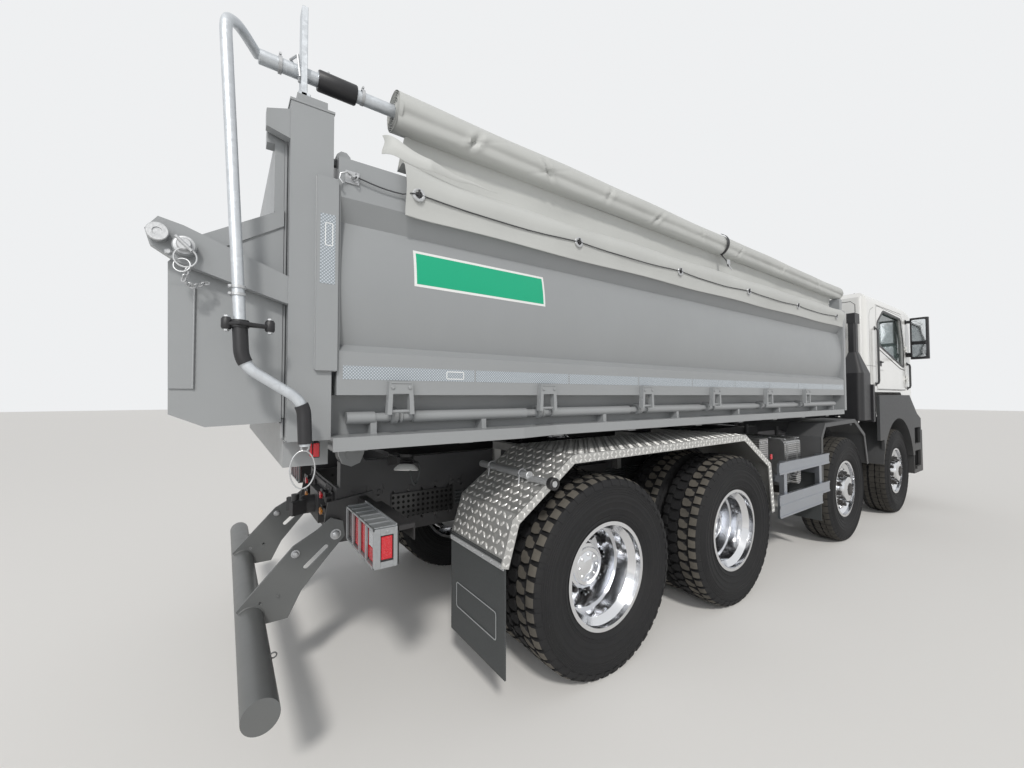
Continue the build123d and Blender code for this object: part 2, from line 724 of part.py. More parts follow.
# Front mudguards with the entry steps
step_heights = (470.0, 800.0, 1130.0)
step_rear = 6345.0
step_front = 6760.0
step_low = 440.0
step_inner_y = 960.0
step_thick = 24.0
arch_lip = 14.0
skirt_outline = [(4830, 1000), (4830, 1560), (6180, 1560), (6560, 1290), (step_front, 1215),
                 (step_front, step_low), (step_rear - 15, step_low), (step_rear - 15, 560), (4990, 560),
                 (4990, 1000)]
with BuildPart() as front_fenders:
    for side in (-1, 1):
        side_plate(skirt_outline, side * (skirt_outer_y - skirt_thick), side * skirt_outer_y)
        cross_rod(first_axle, tyre_radius, arch_radius + arch_lip, side * 900, side * skirt_outer_y)
        box(4800, 6500, side * 880, side * (skirt_outer_y + 20), -300, 700, Mode.SUBTRACT)
        cross_rod(first_axle, tyre_radius, arch_radius, side * 880, side * (skirt_outer_y + 20),
                  Mode.SUBTRACT)
        box(step_rear, step_front, side * step_inner_y, side * skirt_outer_y, step_low, step_low + 30)
        for height in step_heights:
            box(step_rear + 15, step_front - 10, side * step_inner_y, side * skirt_outer_y, height,
                height + step_thick)
        box(step_rear, step_rear + 20, side * step_inner_y, side * skirt_outer_y, step_low, 1230)
        box(step_front - 20, step_front, side * step_inner_y, side * skirt_outer_y, step_low, 1200)
        box(step_rear, step_front, side * (step_inner_y - 20), side * step_inner_y, step_low, 1200)
        for low in step_heights[:2]:
            box(step_rear + 55, step_front - 50, side * (skirt_outer_y - 60), side * (skirt_outer_y + 2),
                low + 60, low + 290, Mode.SUBTRACT)
        box(5600, 5660, side * rail_outer_y, side * 1000, 1256, 1310)
        box(5600, 5660, side * rail_outer_y, side * (rail_outer_y + 30), 940, 1268)
        box(6500, 6560, side * rail_outer_y, side * (step_inner_y - 20), 900, 980)
save(front_fenders, "front_fenders_and_steps")

# Bumper with lamp pockets and air slots
bumper_rear = 6200.0
bumper_low = 440.0
bumper_high = 1040.0
bumper_wall = 60.0
lamp_pocket_in = 760.0
lamp_pocket_out = 1130.0
lamp_pocket_low = 690.0
lamp_pocket_high = 900.0
bumper_middle = (bumper_rear + front_end) / 2
bumper_length = front_end - bumper_rear
with BuildPart() as bumper:
    with BuildSketch(plan_at(bumper_low)):
        with Locations((bumper_middle, 0)):
            RectangleRounded(bumper_length, 2 * skirt_outer_y, 260)
        with Locations((bumper_middle - bumper_wall, 0)):
            RectangleRounded(bumper_length, 2 * (skirt_outer_y - bumper_wall), 220, mode=Mode.SUBTRACT)
        with Locations((6400, 0)):
            Rectangle(740, 2600, mode=Mode.SUBTRACT)
    extrude(amount=bumper_high - bumper_low)
    for side in (-1, 1):
        box(6880, 7100, side * lamp_pocket_in, side * lamp_pocket_out, lamp_pocket_low, lamp_pocket_high,
            Mode.SUBTRACT)
        box(rail_front, 7000, side * 300, side * 380, 800, 960)
    for low, high, half in ((500.0, 545.0, 620.0), (570.0, 615.0, 620.0), (920.0, 990.0, 560.0)):
        box(6980, 7100, -half, half, low, high, Mode.SUBTRACT)
save(bumper, "front_bumper")

# Head lamps that fill the bumper's pockets
lamp_inset = 12.0
with BuildPart() as head_lamps:
    with BuildSketch(plan_at(lamp_pocket_low + seat_gap)):
        with Locations((bumper_middle - lamp_inset, 0)):
            RectangleRounded(bumper_length, 2 * (skirt_outer_y - lamp_inset), 250)
        with Locations((bumper_middle - 80, 0)):
            RectangleRounded(bumper_length, 2 * (skirt_outer_y - 80), 200, mode=Mode.SUBTRACT)
    extrude(amount=lamp_pocket_high - lamp_pocket_low - 2 * seat_gap)
    with BuildSketch(plan_at(lamp_pocket_low - 90)):
        with Locations((6500, 0)):
            Rectangle(1400, 2 * (lamp_pocket_in + seat_gap))
        with Locations((6440, 0)):
            Rectangle(880, 2600)
    extrude(amount=400, mode=Mode.SUBTRACT)
    for side in (-1, 1):
        box(6700, 7100, side * (lamp_pocket_out - seat_gap), side * 1300, lamp_pocket_low - 90, 1000,
            Mode.SUBTRACT)
save(head_lamps, "head_lamps")

# Rear lamps in their ribbed guards, with the work lamps and the marker lamps on stalks
lamp_back = -1205.0
lamp_face = -1284.0
lamp_low = 885.0
lamp_high = 1025.0
lamp_in_y = 775.0
lamp_out_y = 1195.0
rib_depth = 12.0
rib_width = 7.0
marker_station = -480.0
marker_z = 1135.0
with BuildPart() as rear_lamps:
    for side in (-1, 1):
        box(lamp_face, lamp_back, side * lamp_in_y, side * lamp_out_y, lamp_low, lamp_high)
        for y in (765.0, 905.0, 1045.0, 1193.0):
            box(lamp_face - rib_depth, lamp_face, side * y, side * (y + rib_width), lamp_low - 5,
                lamp_high + 5)
        for z in (lamp_low - 5, 950.0, lamp_high - 3):
            box(lamp_face - rib_depth, lamp_face, side * 765, side * 1200, z, z + rib_width + 1)
        box(lamp_back, lamp_back + 85, side * 740, side * 1190, lamp_low - 15, lamp_high + 10)
        box(-1150, -1100, side * (rail_outer_y + 16), side * 740, 900, 990)
        box(-1110, -1020, side * 560, side * 640, 1040, 1100)
        box(-1120, -1060, side * 580, side * 620, 980, 1040)
        cross_rod(marker_station, marker_z, 16, side * 1180, side * 1300)
        cross_rod(marker_station, marker_z, 30, side * 1300, side * 1330)
save(rear_lamps, "rear_lamps")

# Air cleaner with its snorkel behind the cab, and the two side panels on their brackets
intake_x = 4510.0
intake_y = -1090.0
intake_low = 1262.0
intake_shoulder = 1822.0
neck_low = 2080.0
neck_x = intake_x + 30
neck_y = intake_y + 15
panel_rear = 4640.0
panel_front = 4700.0
with BuildPart() as air_intake:
    with BuildSketch(plan_at(intake_low)):
        with Locations((intake_x, intake_y)):
            RectangleRounded(330, 240, 60)
    extrude(amount=intake_shoulder - intake_low)
    with BuildSketch(plan_at(intake_shoulder)):
        with Locations((intake_x, intake_y)):
            RectangleRounded(330, 240, 60)
    with BuildSketch(plan_at(neck_low)):
        with Locations((neck_x, neck_y)):
            RectangleRounded(120, 90, 30)
    loft()
    with BuildSketch(plan_at(neck_low)):
        with Locations((neck_x, neck_y)):
            RectangleRounded(110, 80, 25)
    extrude(amount=400)
    box(neck_x - 60, neck_x + 100, neck_y - 40, neck_y + 45, 2440, 2560)
    box(intake_x - 70, intake_x + 50, -970, -rail_outer_y, 1000, 1040)
    box(intake_x - 70, intake_x + 50, -1100, -960, 1000, intake_low)
    for side in (-1, 1):
        box(panel_rear, panel_front, side * 1000, side * 1230, 1240, 1690)
        box(panel_rear, panel_front, side * rail_outer_y, side * 1010, 1240, 1280)
        box(panel_rear, panel_front, side * rail_outer_y, side * (rail_outer_y + 30), 1000, 1240)
save(air_intake, "air_intake")

# Underrun guard: tube on two slotted arms
with BuildPart() as guard:
    cross_rod(guard_bar_x, guard_bar_z, guard_bar_radius, -guard_bar_half, guard_bar_half)
    for side in (-1, 1):
        y_in = side * (guard_arm_y - guard_arm_thick)
        y_out = side * guard_arm_y
        side_plate([(-1230, 800), (-1240, 880), (-1300, 905), (-1370, 850), (-1480, 790),
                    (-1720, 530), (-1700, 500), (-1600, 440), (-1500, 440), (-1440, 560),
                    (-1330, 690)], y_in, y_out)
        cross_rod(guard_pivot_x, guard_pivot_z, guard_pin_radius + running_gap, y_in, y_out,
                  Mode.SUBTRACT)
        with BuildSketch(side_at(max(y_in, y_out))):
            with Locations(Location((-1372, 716), 41)):
                SlotOverall(150, 26)
            with Locations((-1470, 752)):
                Circle(14)
            with Locations((-1545, 560), (-1620, 545)):
                Circle(8)
        extrude(amount=guard_arm_thick, mode=Mode.SUBTRACT)
save(guard, "underrun_guard")

# Cylinder: barrel on trunnions and four telescoping stages
with BuildPart() as barrel:
    post_rod(cylinder_x, 0, barrel_bottom, barrel_top, barrel_radius)
    post_rod(cylinder_x, 0, barrel_bottom + 15, barrel_top, stage_radii[0] + stage_gap, Mode.SUBTRACT)
    for side in (-1, 1):
        cross_rod(cylinder_x, trunnion_z, trunnion_radius, side * (barrel_radius - 6),
                  side * (cradle_y + cradle_thick))
        cross_rod(cylinder_x, trunnion_z, 45, side * (barrel_radius - 10), side * (cradle_y - 4))
save(barrel, "cylinder_barrel")
for number, radius in enumerate(stage_radii, start=1):
    low = barrel_bottom + 18 + 4 * number
    high = barrel_top + stage_step * number
    with BuildPart() as stage:
        post_rod(cylinder_x, 0, low, high, radius)
        if number < len(stage_radii):
            post_rod(cylinder_x, 0, low + 2, high, stage_radii[number] + stage_gap, Mode.SUBTRACT)
        else:
            post_rod(cylinder_x, 0, high, cylinder_eye_z - 30, radius * 0.8)
            cross_rod(cylinder_x, cylinder_eye_z, cylinder_eye_radius, -40, 40)
            cross_rod(cylinder_x, cylinder_eye_z, cylinder_pin_radius + cylinder_eye_play, -60, 60,
                      Mode.SUBTRACT)
    save(stage, f"cylinder_stage_{number}")

# Load body: floor, edge plates and chutes, sills, cross channels, hinge and cylinder lugs
cross_channel_stations = (-1340.0, -860.0, -300.0, 300.0, 1040.0, 1640.0, 2240.0, 2840.0, 3440.0)
floor_top = floor_bottom + floor_thick
edge_top = floor_top - edge_drop
wall_rear = body_front - front_post_width
post_front = body_rear + post_width
chute_outline = [(post_front, 1290), (-635, 1290), (-396, 1244), (wall_rear, 1244),
                 (wall_rear, kerb_inner_y - 1), (post_front, kerb_inner_y - 1)]
chute_lip = chute_outline[:4]
chute_lip_thick = 6.0
chute_lip_bottom = 1360.0
with BuildPart() as body_tub:
    box(body_rear, wall_rear, -kerb_inner_y, kerb_inner_y, floor_bottom, floor_top)
    box(body_rear, body_rear + 150, -post_inner_y, post_inner_y, floor_bottom - 100, edge_top)
    for side in (-1, 1):
        with BuildSketch(plan_at(floor_bottom - edge_drop)):
            with BuildLine():
                Polyline(*[(x, side * y) for x, y in chute_outline], close=True)
            make_face()
        extrude(amount=edge_top - floor_bottom + edge_drop)
        with BuildSketch(plan_at(chute_lip_bottom)):
            with BuildLine():
                Polyline(*[(x, side * (y - chute_lip_thick / 2)) for x, y in chute_lip])
            trace(line_width=chute_lip_thick)
        extrude(amount=edge_top - chute_lip_bottom)
        box(-1080, wall_rear, side * (sill_outer_y - sill_width), side * sill_outer_y,
            floor_bottom - sill_height, floor_bottom)
        for station in cross_channel_stations:
            box(station - 35, station + 35, side * 100, side * 1150, floor_bottom - 60, floor_bottom)
            box(station - 25, station + 25, side * 1149, side * 1180, floor_bottom - 40, floor_bottom)
        side_plate([(tip_hinge_x - 70, floor_bottom), (tip_hinge_x - 66, tip_hinge_z),
                    (tip_hinge_x - 46, tip_hinge_z - 48), (tip_hinge_x, tip_hinge_z - 66),
                    (tip_hinge_x + 46, tip_hinge_z - 48), (tip_hinge_x + 66, tip_hinge_z),
                    (tip_hinge_x + 90, floor_bottom)],
                   side * (subframe_outer_y + 8), side * (subframe_outer_y + 33))
        side_plate([(cylinder_x - 75, floor_bottom), (cylinder_x - 60, cylinder_eye_z - 10),
                    (cylinder_x - 25, cylinder_eye_z - 45), (cylinder_x + 25, cylinder_eye_z - 45),
                    (cylinder_x + 60, cylinder_eye_z - 10), (cylinder_x + 75, floor_bottom)],
                   side * 62, side * 84)
    cross_rod(tip_hinge_x, tip_hinge_z, tip_shaft_radius, -(subframe_outer_y + 40),
              subframe_outer_y + 40)
    cross_rod(cylinder_x, cylinder_eye_z, cylinder_pin_radius, -70, 70)
save(body_tub, "load_body")

# Rear posts with the board pins, the tailgate pins and the arms beside the scoop
with BuildPart() as body_posts:
    for side in (-1, 1):
        box(body_rear, post_front, side * post_inner_y, side * post_outer_y, post_bottom, post_top)
        box(body_rear + 84, body_rear + 156, side * (post_outer_y - 2), side * (post_outer_y + 16),
            1647, 2342)
        long_rod(post_front - 1, post_front + pin_reach, side * board_hinge_y, board_hinge_z,
                 hinge_pin_radius)
        side_plate([(body_rear + 1, 2450), (tailgate_pivot_x - 32, 2470), (tailgate_pivot_x - 32, 2530),
                    (body_rear + 1, 2555)], side * 1208, side * arm_y_out)
        cross_rod(tailgate_pivot_x, tailgate_pivot_z, hinge_pin_radius, side * 1140, side * 1210)
        side_plate([(body_rear + 1, 1872), (body_rear + 1, 1967), (-1890, 2078), (-1950, 2092),
                    (-1980, 2050), (-1968, 2006), (-1900, 1962)], side * arm_y_in, side * arm_y_out)
        cross_rod(-1948, 2038, 26, side * (arm_y_out - 1), side * (arm_y_out + 22))
        cross_rod(-1885, 2008, 30, side * (arm_y_out - 1), side * (arm_y_out + 30))
        box(body_rear - 3, post_front + 3, side * (post_inner_y - 3), side * (post_outer_y + 3), post_top,
            post_top + 8)
        box(body_rear + 20, body_rear + 120, side * 1170, side * 1240, post_top, post_top + 40)
save(body_posts, "body_posts")

# Front wall with its posts, top rail, uprights and the rest for the rolled tarpaulin
front_post_top = front_wall_top + 40
with BuildPart() as front_wall:
    box(wall_rear, wall_rear + front_wall_thick, -post_inner_y, post_inner_y, floor_bottom,
        front_wall_top)
    box(body_front - 40, body_front, -post_inner_y, post_inner_y, front_wall_top - 90, front_wall_top)
    for side in (-1, 1):
        box(wall_rear, body_front, side * post_inner_y, side * post_outer_y, floor_bottom,
            front_post_top)
        long_rod(wall_rear - pin_reach, wall_rear + 1, side * board_hinge_y, board_hinge_z,
                 hinge_pin_radius)
    for y in (-700.0, 0.0, 700.0):
        box(wall_rear + front_wall_thick - 2, body_front, y - 40, y + 40, floor_bottom,
            front_wall_top - 60)
    box(roll_front - 60, roll_front + 12, -1215, -1125, front_post_top - 1,
        roll_front_z - roll_front_radius - seat_gap)
save(front_wall, "front_wall")

# Lock shafts along the lower edge of the boards, carried by bearings on the kerb plates
clamp_reach = 78.0
bearing_stations = (-1300.0, -800.0, 0.0, 700.0, 1500.0, 2200.0, 3000.0, 3440.0)
with BuildPart() as lock_shafts:
    for side in (-1, 1):
        box(post_front + seat_gap, wall_rear - seat_gap, side * (kerb_inner_y + seat_gap),
            side * (board_inner_y - kerb_gap), edge_top, kerb_top)
        long_rod(lock_rear, lock_front, side * lock_shaft_y, lock_shaft_z, lock_shaft_radius)
        for rear, front in zip((lock_rear - clamp_reach, *clamp_stations),
                               (*clamp_stations, lock_front + clamp_reach)):
            long_rod(rear + clamp_reach, front - clamp_reach, side * lock_shaft_y, lock_shaft_z,
                     lock_cover_radius)
        for station in clamp_stations:
            long_rod(station - 9, station + 9, side * lock_shaft_y, lock_shaft_z + 6,
                     lock_ring_radius)
        for station in bearing_stations:
            box(station - 12, station + 12, side * (board_inner_y - kerb_gap - 1),
                side * (lock_shaft_y + 14), edge_top, lock_shaft_z)
save(lock_shafts, "lock_shafts")

# Side boards: pressed panel between a top rail and a flat bottom rail, hung on pins
board_rear = body_rear + post_width + board_gap
board_front = body_front - front_post_width - board_gap
end_plate = 8.0
clamp_top = 1612.0
clamp_foot = 1485.0
for name, side in (("right", -1), ("left", 1)):
    with BuildPart() as board:
        with BuildSketch(cross_at(board_rear)):
            with BuildLine():
                Polyline((side * board_inner_y, board_top), (side * board_outer_y, board_top),
                         (side * board_outer_y, board_rail_bottom),
                         (side * panel_recess_y, panel_top))
                ThreePointArc((side * panel_recess_y, panel_top),
                              (side * panel_bulge_y, (panel_top + panel_bottom) / 2),
                              (side * panel_recess_y, panel_bottom))
                Polyline((side * panel_recess_y, panel_bottom), (side * board_outer_y, crease_z),
                         (side * board_outer_y, board_bottom),
                         (side * board_inner_y, board_bottom), (side * board_inner_y, board_top))
            make_face()
        extrude(amount=board_front - board_rear)
        for end in (board_rear, board_front - end_plate):
            box(end, end + end_plate, side * board_inner_y, side * board_outer_y, board_bottom, board_top)
        for end in (board_rear, board_front - 48):
            side_plate([(end, 2400), (end + 48, 2400), (end + 48, board_hinge_z + 22),
                        (end + 34, board_hinge_z + 36), (end + 14, board_hinge_z + 36),
                        (end, board_hinge_z + 22)], side * (board_hinge_y - 32),
                       side * (board_hinge_y + 32))
        for low in (board_rear - 1, board_front - 49):
            long_rod(low, low + 50, side * board_hinge_y, board_hinge_z,
                     hinge_pin_radius + running_gap, Mode.SUBTRACT)
        for station in clamp_stations:
            edge = station - clamp_width / 2
            left_leg = [(edge, clamp_top), (edge + 16, clamp_top), (edge + 10, clamp_foot),
                        (edge - 8, clamp_foot)]
            right_leg = [(2 * station - x, z) for x, z in left_leg]
            for leg in (left_leg, right_leg):
                side_plate(leg, side * (board_outer_y + 1), side * (board_outer_y + 30))
            box(station - clamp_width / 2, station + clamp_width / 2, side * (board_outer_y - 1),
                side * (board_outer_y + 30), board_bottom + 5, clamp_top)
    save(board, f"side_board_{name}")

# Tailgate: flat top, deep scoop with closed cheeks
gate_front = body_rear - tailgate_gap
gate_rib_rear = -1945.0
gate_rib_ys = (-600.0, 0.0, 600.0)
gate_outline = [(gate_front, 1466), (gate_front, 2212), (-1867, 2059), (-1929, 1970), (-1921, 1501),
                (-1830, 1458)]
with BuildPart() as tailgate:
    side_plate(gate_outline, -cheek_y, cheek_y)
    box(gate_front - 30, gate_front, -cheek_y + 4, cheek_y - 4, 2200, 2455)
    side_plate([(gate_front + 5, 1478), (gate_front + 5, 2196), (-1860, 2046), (-1917, 1966),
                (-1909, 1508), (-1827, 1472)], -(cheek_y - cheek_thick), cheek_y - cheek_thick,
               Mode.SUBTRACT)
    for side in (-1, 1):
        side_plate([(gate_front, 2212), (gate_front, 2152), (-1850, 2004), (-1867, 2059)],
                   side * (cheek_y - 1), side * (cheek_y + 6))
        box(-1921, -1862, side * (cheek_y - 1), side * (cheek_y + 6), 1580, 1900)
        box(tailgate_pivot_x - gate_eye_radius, gate_front, side * 1142, side * 1196, 2440,
            tailgate_pivot_z)
        cross_rod(tailgate_pivot_x, tailgate_pivot_z, gate_eye_radius, side * 1142, side * 1196)
        cross_rod(tailgate_pivot_x, tailgate_pivot_z, hinge_pin_radius + running_gap, side * 1100,
                  side * 1205, Mode.SUBTRACT)
    for y in gate_rib_ys:
        box(gate_rib_rear, gate_rib_rear + 28, y - 35, y + 35, 1560, 1930)
save(tailgate, "tailgate")

# Rolled tarpaulin, its flap, and the winding tube with the hanging crank
with BuildPart() as tarp_roll:
    with BuildSketch(cross_at(roll_rear)):
        with Locations((-roll_y, roll_rear_z)):
            Circle(roll_rear_radius)
        with Locations((-roll_y, roll_rear_z)):
            Circle(roll_tube_radius + seat_gap, mode=Mode.SUBTRACT)
    with BuildSketch(cross_at(roll_front)):
        with Locations((-roll_y, roll_front_z)):
            Circle(roll_front_radius)
        with Locations((-roll_y, roll_front_z)):
            Circle(roll_tube_radius + seat_gap, mode=Mode.SUBTRACT)
    loft()
save(tarp_roll, "tarp_roll")
with BuildPart() as tarp_flap:
    side_plate([(flap_rear, flap_bottom), (flap_rear, flap_rear_top), (flap_front, flap_front_top),
                (flap_front, flap_bottom)], -flap_y, -(flap_y + flap_thick))
save(tarp_flap, "tarp_flap")
with BuildPart() as tarp_crank:
    with BuildSketch(cross_at(-1700)):
        with Locations((-roll_y, roll_rear_z + 7)):
            Circle(roll_tube_radius)
    with BuildSketch(cross_at(roll_front)):
        with Locations((-roll_y, roll_front_z)):
            Circle(roll_tube_radius)
    loft()
    long_rod(-1509, -1370, -roll_y, roll_rear_z + 4, 34)
    with BuildLine() as crank_line:
        FilletPolyline((-1700 - origin_station, -roll_y, 2748), (-1760 - origin_station, -1250, 2770),
                       (-1807 - origin_station, -crank_y, 2700), (-1760 - origin_station, -crank_y, 1784),
                       (-1735 - origin_station, -crank_y, 1645), (-1597 - origin_station, -crank_y, 1544),
                       (-1572 - origin_station, -crank_y, 1394), radius=30)
    with BuildSketch(Plane(origin=crank_line.line @ 0, z_dir=crank_line.line % 0)):
        Circle(crank_tube_radius)
    sweep()
    box(-1571, -1551, -1225, -1165, post_top + 40 + seat_gap, 2962)
    box(-1580, -1540, -1225, -1165, post_top + 40 + seat_gap, post_top + 60)
save(tarp_crank, "tarp_crank")


# Cab: one form, used at several insets for the skin, the hollow and the glass
cab_profile = [
    (cab_rear, cab_floor), (cab_rear, 2790), (cab_rear + 90, 2858), (5700, 2868), (6540, 2815),
    (6760, 2700), (6985, 1990), (cab_front, 1850), (cab_front, nose_bottom), (6790, nose_bottom),
    (6560, 1300), (6150, cab_floor)]
cab_roof_z = 2868.0
door_outline = [
    (door_rear, door_bottom), (door_rear, door_top), (6300, door_top), (door_front, 2320),
    (door_front, door_bottom), ]
window_outline = [
    (5168, 2500), (5215, 2220), (6215, 1990), (6370, 1965), (6370, 2320), (6250, 2655), (5440, 2680)]
windscreen_outline = [(-1010, 2030), (-940, 2650), (940, 2650), (1010, 2030)]


def cab_form(inset):
    """Cab shape from its side, plan and cross outlines, drawn in by the inset all round."""
    with BuildPart() as form:
        with BuildSketch(side_at(cab_half)) as outline:
            with BuildLine():
                Polyline(*cab_profile, close=True)
            make_face()
            if inset:
                offset(amount=-inset, kind=Kind.INTERSECTION)
        extrude(outline.sketch, amount=2 * cab_half)
        with BuildSketch(plan_at(1000)) as plan:
            with Locations(((cab_rear + cab_front) / 2, 0)):
                Rectangle(cab_front - cab_rear, 2 * cab_half)
            fillet(plan.vertices().group_by(Axis.X)[-1], 330)
            fillet(plan.vertices().group_by(Axis.X)[0], 75)
            if inset:
                offset(amount=-inset)
        extrude(plan.sketch, amount=2000, mode=Mode.INTERSECT)
        with BuildSketch(cross_at(cab_rear)) as cross:
            with Locations((0, (cab_roof_z + 900) / 2)):
                Rectangle(2 * cab_half, cab_roof_z - 900)
            fillet(cross.vertices().group_by(Axis.Z)[-1], 130)
            if inset:
                offset(amount=-inset)
        extrude(cross.sketch, amount=cab_front - cab_rear, mode=Mode.INTERSECT)
    return form.part


def cab_layer(outer_inset, inner_inset):
    """The layer of the cab's form between two insets."""
    outer_form = cab_form(outer_inset)
    inner_form = cab_form(inner_inset)
    with BuildPart() as layer:
        add(outer_form)
        add(inner_form, mode=Mode.SUBTRACT)
    return layer.part


def side_prism(points, shrink, y0, y1):
    """Upright-sided block over a side-view outline drawn in by shrink, between two y values."""
    with BuildPart() as prism:
        with BuildSketch(side_at(max(y0, y1))) as outline:
            with BuildLine():
                Polyline(*points, close=True)
            make_face()
            if shrink:
                offset(amount=-shrink, kind=Kind.INTERSECTION)
        extrude(outline.sketch, amount=abs(y1 - y0))
    return prism.part


def windscreen_prism(shrink):
    with BuildPart() as prism:
        with BuildSketch(cross_at(6600)) as outline:
            with BuildLine():
                Polyline(*windscreen_outline, close=True)
            make_face()
            if shrink:
                offset(amount=-shrink, kind=Kind.INTERSECTION)
        extrude(outline.sketch, amount=500)
    return prism.part


cab_skin = cab_layer(0, cab_wall)
glass_layer = cab_layer(24, 24 + glass_thick)
screen_cut = windscreen_prism(0)
screen_block = windscreen_prism(glass_gap)
door_cuts = [side_prism(door_outline, 0, side * (cab_half - cab_wall - 40), side * (cab_half + 20))
             for side in (-1, 1)]

roof_hatch_low = cab_roof_z - 14
with BuildPart() as cab_shell:
    add(cab_skin)
    add(screen_cut, mode=Mode.SUBTRACT)
    for cut in door_cuts:
        add(cut, mode=Mode.SUBTRACT)
    for side in (-1, 1):
        side_plate([(cab_pivot_x - 45, cab_pivot_z - 40), (cab_pivot_x + 45, cab_pivot_z - 40),
                    (cab_pivot_x + 60, nose_bottom + 10), (cab_pivot_x - 80, nose_bottom + 10)],
                   side * 330, side * 372)
        cross_rod(cab_pivot_x, cab_pivot_z, cab_pin_radius, side * 371, side * (rail_outer_y + 26))
        for low in door_hinge_heights:
            post_rod(door_hinge_x, side * door_hinge_y, low, low + 3 * door_knuckle, door_pin_radius)
            for end in (low, low + 2 * door_knuckle):
                post_rod(door_hinge_x, side * door_hinge_y, end, end + door_knuckle,
                         door_knuckle_radius)
                box(door_hinge_x, door_hinge_x + 34, side * (cab_half - 1),
                    side * (door_hinge_y + door_knuckle_radius), end, end + door_knuckle)
    box(5350, 5850, -300, 300, roof_hatch_low, roof_hatch_low + 26)
save(cab_shell, "cab_shell")

with BuildPart() as cab_glass:
    add(glass_layer)
    add(screen_block, mode=Mode.INTERSECT)
save(cab_glass, "windscreen")

for name, side in (("right", -1), ("left", 1)):
    door_block = side_prism(door_outline, door_gap, side * (cab_half - cab_wall - 20),
                            side * (cab_half + 20))
    window_cut = side_prism(window_outline, 0, side * (cab_half - cab_wall - 40),
                            side * (cab_half + 30))
    window_block = side_prism(window_outline, glass_gap, side * (cab_half - cab_wall - 40),
                              side * (cab_half + 30))
    with BuildPart() as door:
        add(cab_skin)
        add(door_block, mode=Mode.INTERSECT)
        add(window_cut, mode=Mode.SUBTRACT)
        box(5200, 5380, side * (cab_half - 2), side * (cab_half + 14), 1890, 1930)
        for low in door_hinge_heights:
            eye_low = low + door_knuckle + running_gap
            eye_high = low + 2 * door_knuckle - running_gap
            box(door_hinge_x - 40, door_hinge_x, side * (cab_half - 1),
                side * (door_hinge_y + door_knuckle_radius), eye_low, eye_high)
            post_rod(door_hinge_x, side * door_hinge_y, eye_low, eye_high, door_knuckle_radius)
            box(door_hinge_x - 10, door_hinge_x + 30, side * (cab_half - cab_wall - 10),
                side * (cab_half + 0.6), eye_low - 1, eye_high + 1, Mode.SUBTRACT)
            post_rod(door_hinge_x, side * door_hinge_y, eye_low, eye_high,
                     door_pin_radius + running_gap, Mode.SUBTRACT)
    save(door, f"door_{name}")
    with BuildPart() as door_glass:
        add(glass_layer)
        add(window_block, mode=Mode.INTERSECT)
    save(door_glass, f"door_glass_{name}")

# Seats, dashboard, bunk and steering wheel
inside_floor = cab_floor + cab_wall
trim_half = cab_half - 110
bunk_half = cab_half - 90
with BuildPart() as cab_interior:
    for y in (-560.0, 560.0):
        box(5480, 5920, y - 190, y + 190, inside_floor, 1930)
        box(5430, 5960, y - 260, y + 260, 1930, 2060)
        side_plate([(5330, 2040), (5440, 2040), (5400, 2560), (5290, 2560)], y - 250, y + 250)
        side_plate([(5305, 2550), (5395, 2550), (5385, 2700), (5295, 2700)], y - 130, y + 130)
    side_plate([(6300, 1565), (6300, 1800), (6230, 1990), (6330, 2040), (6640, 1975),
                (6640, 1700), (6560, 1374.8)], -trim_half, trim_half)
    box(4800, 5230, -bunk_half, bunk_half, 1930, 2080)
    box(4800, 5200, -bunk_half, bunk_half, inside_floor, 1930)
    wheel_plane = Plane(origin=(6110 - origin_station, 560, 2130), x_dir=(0, 1, 0),
                        z_dir=(cos(radians(35)), 0, -sin(radians(35))))
    with BuildSketch(wheel_plane):
        Circle(225)
        Circle(195, mode=Mode.SUBTRACT)
    extrude(amount=28)
    with BuildSketch(wheel_plane):
        Rectangle(400, 50)
        Circle(60)
    extrude(amount=26)
    with BuildSketch(wheel_plane):
        Circle(32)
    extrude(amount=290)
save(cab_interior, "cab_interior")

# Mirrors on their arms, ahead of the doors
with BuildPart() as mirrors:
    for side in (-1, 1):
        mid = side * (mirror_outer_y - 100)
        with BuildSketch(plan_at(2085)):
            with Locations((6512, mid)):
                RectangleRounded(105, 200, 40)
        extrude(amount=600)
        for height in (2120.0, 2620.0):
            box(6485, 6535, side * cab_half, side * (mirror_outer_y - 190), height, height + 36)
save(mirrors, "mirrors")

# Grille panel and sun visor
with BuildPart() as cab_grille:
    box(cab_front, cab_front + 22, -640, 640, 1290, 1800)
    for row in range(5):
        box(cab_front - 1, cab_front + 30, -580, 580, 1330 + 90 * row, 1365 + 90 * row, Mode.SUBTRACT)
    side_plate([(6790, 2700), (6960, 2655), (6968, 2672), (6770, 2790), (6740, 2790)], -900, 900)
    for y in (-620.0, 0.0, 620.0):
        side_plate([(6690, 2737), (6758, 2701.5), (6800, 2700), (6800, 2760), (6745, 2785)],
                   y - 15, y + 15)
save(cab_grille, "grille_and_visor")
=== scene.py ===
"""Looks of the four-axle tipper truck: materials, road tread, cloth, lamps, trim and small hardware.

The CAD frame is in metres. Stations are millimetres forward of the fourth axle, as in the part's
source, and at() turns a station, a side distance and a height into a point of the frame.
"""
import math

import bmesh
import bpy
from mathutils import Matrix, Vector


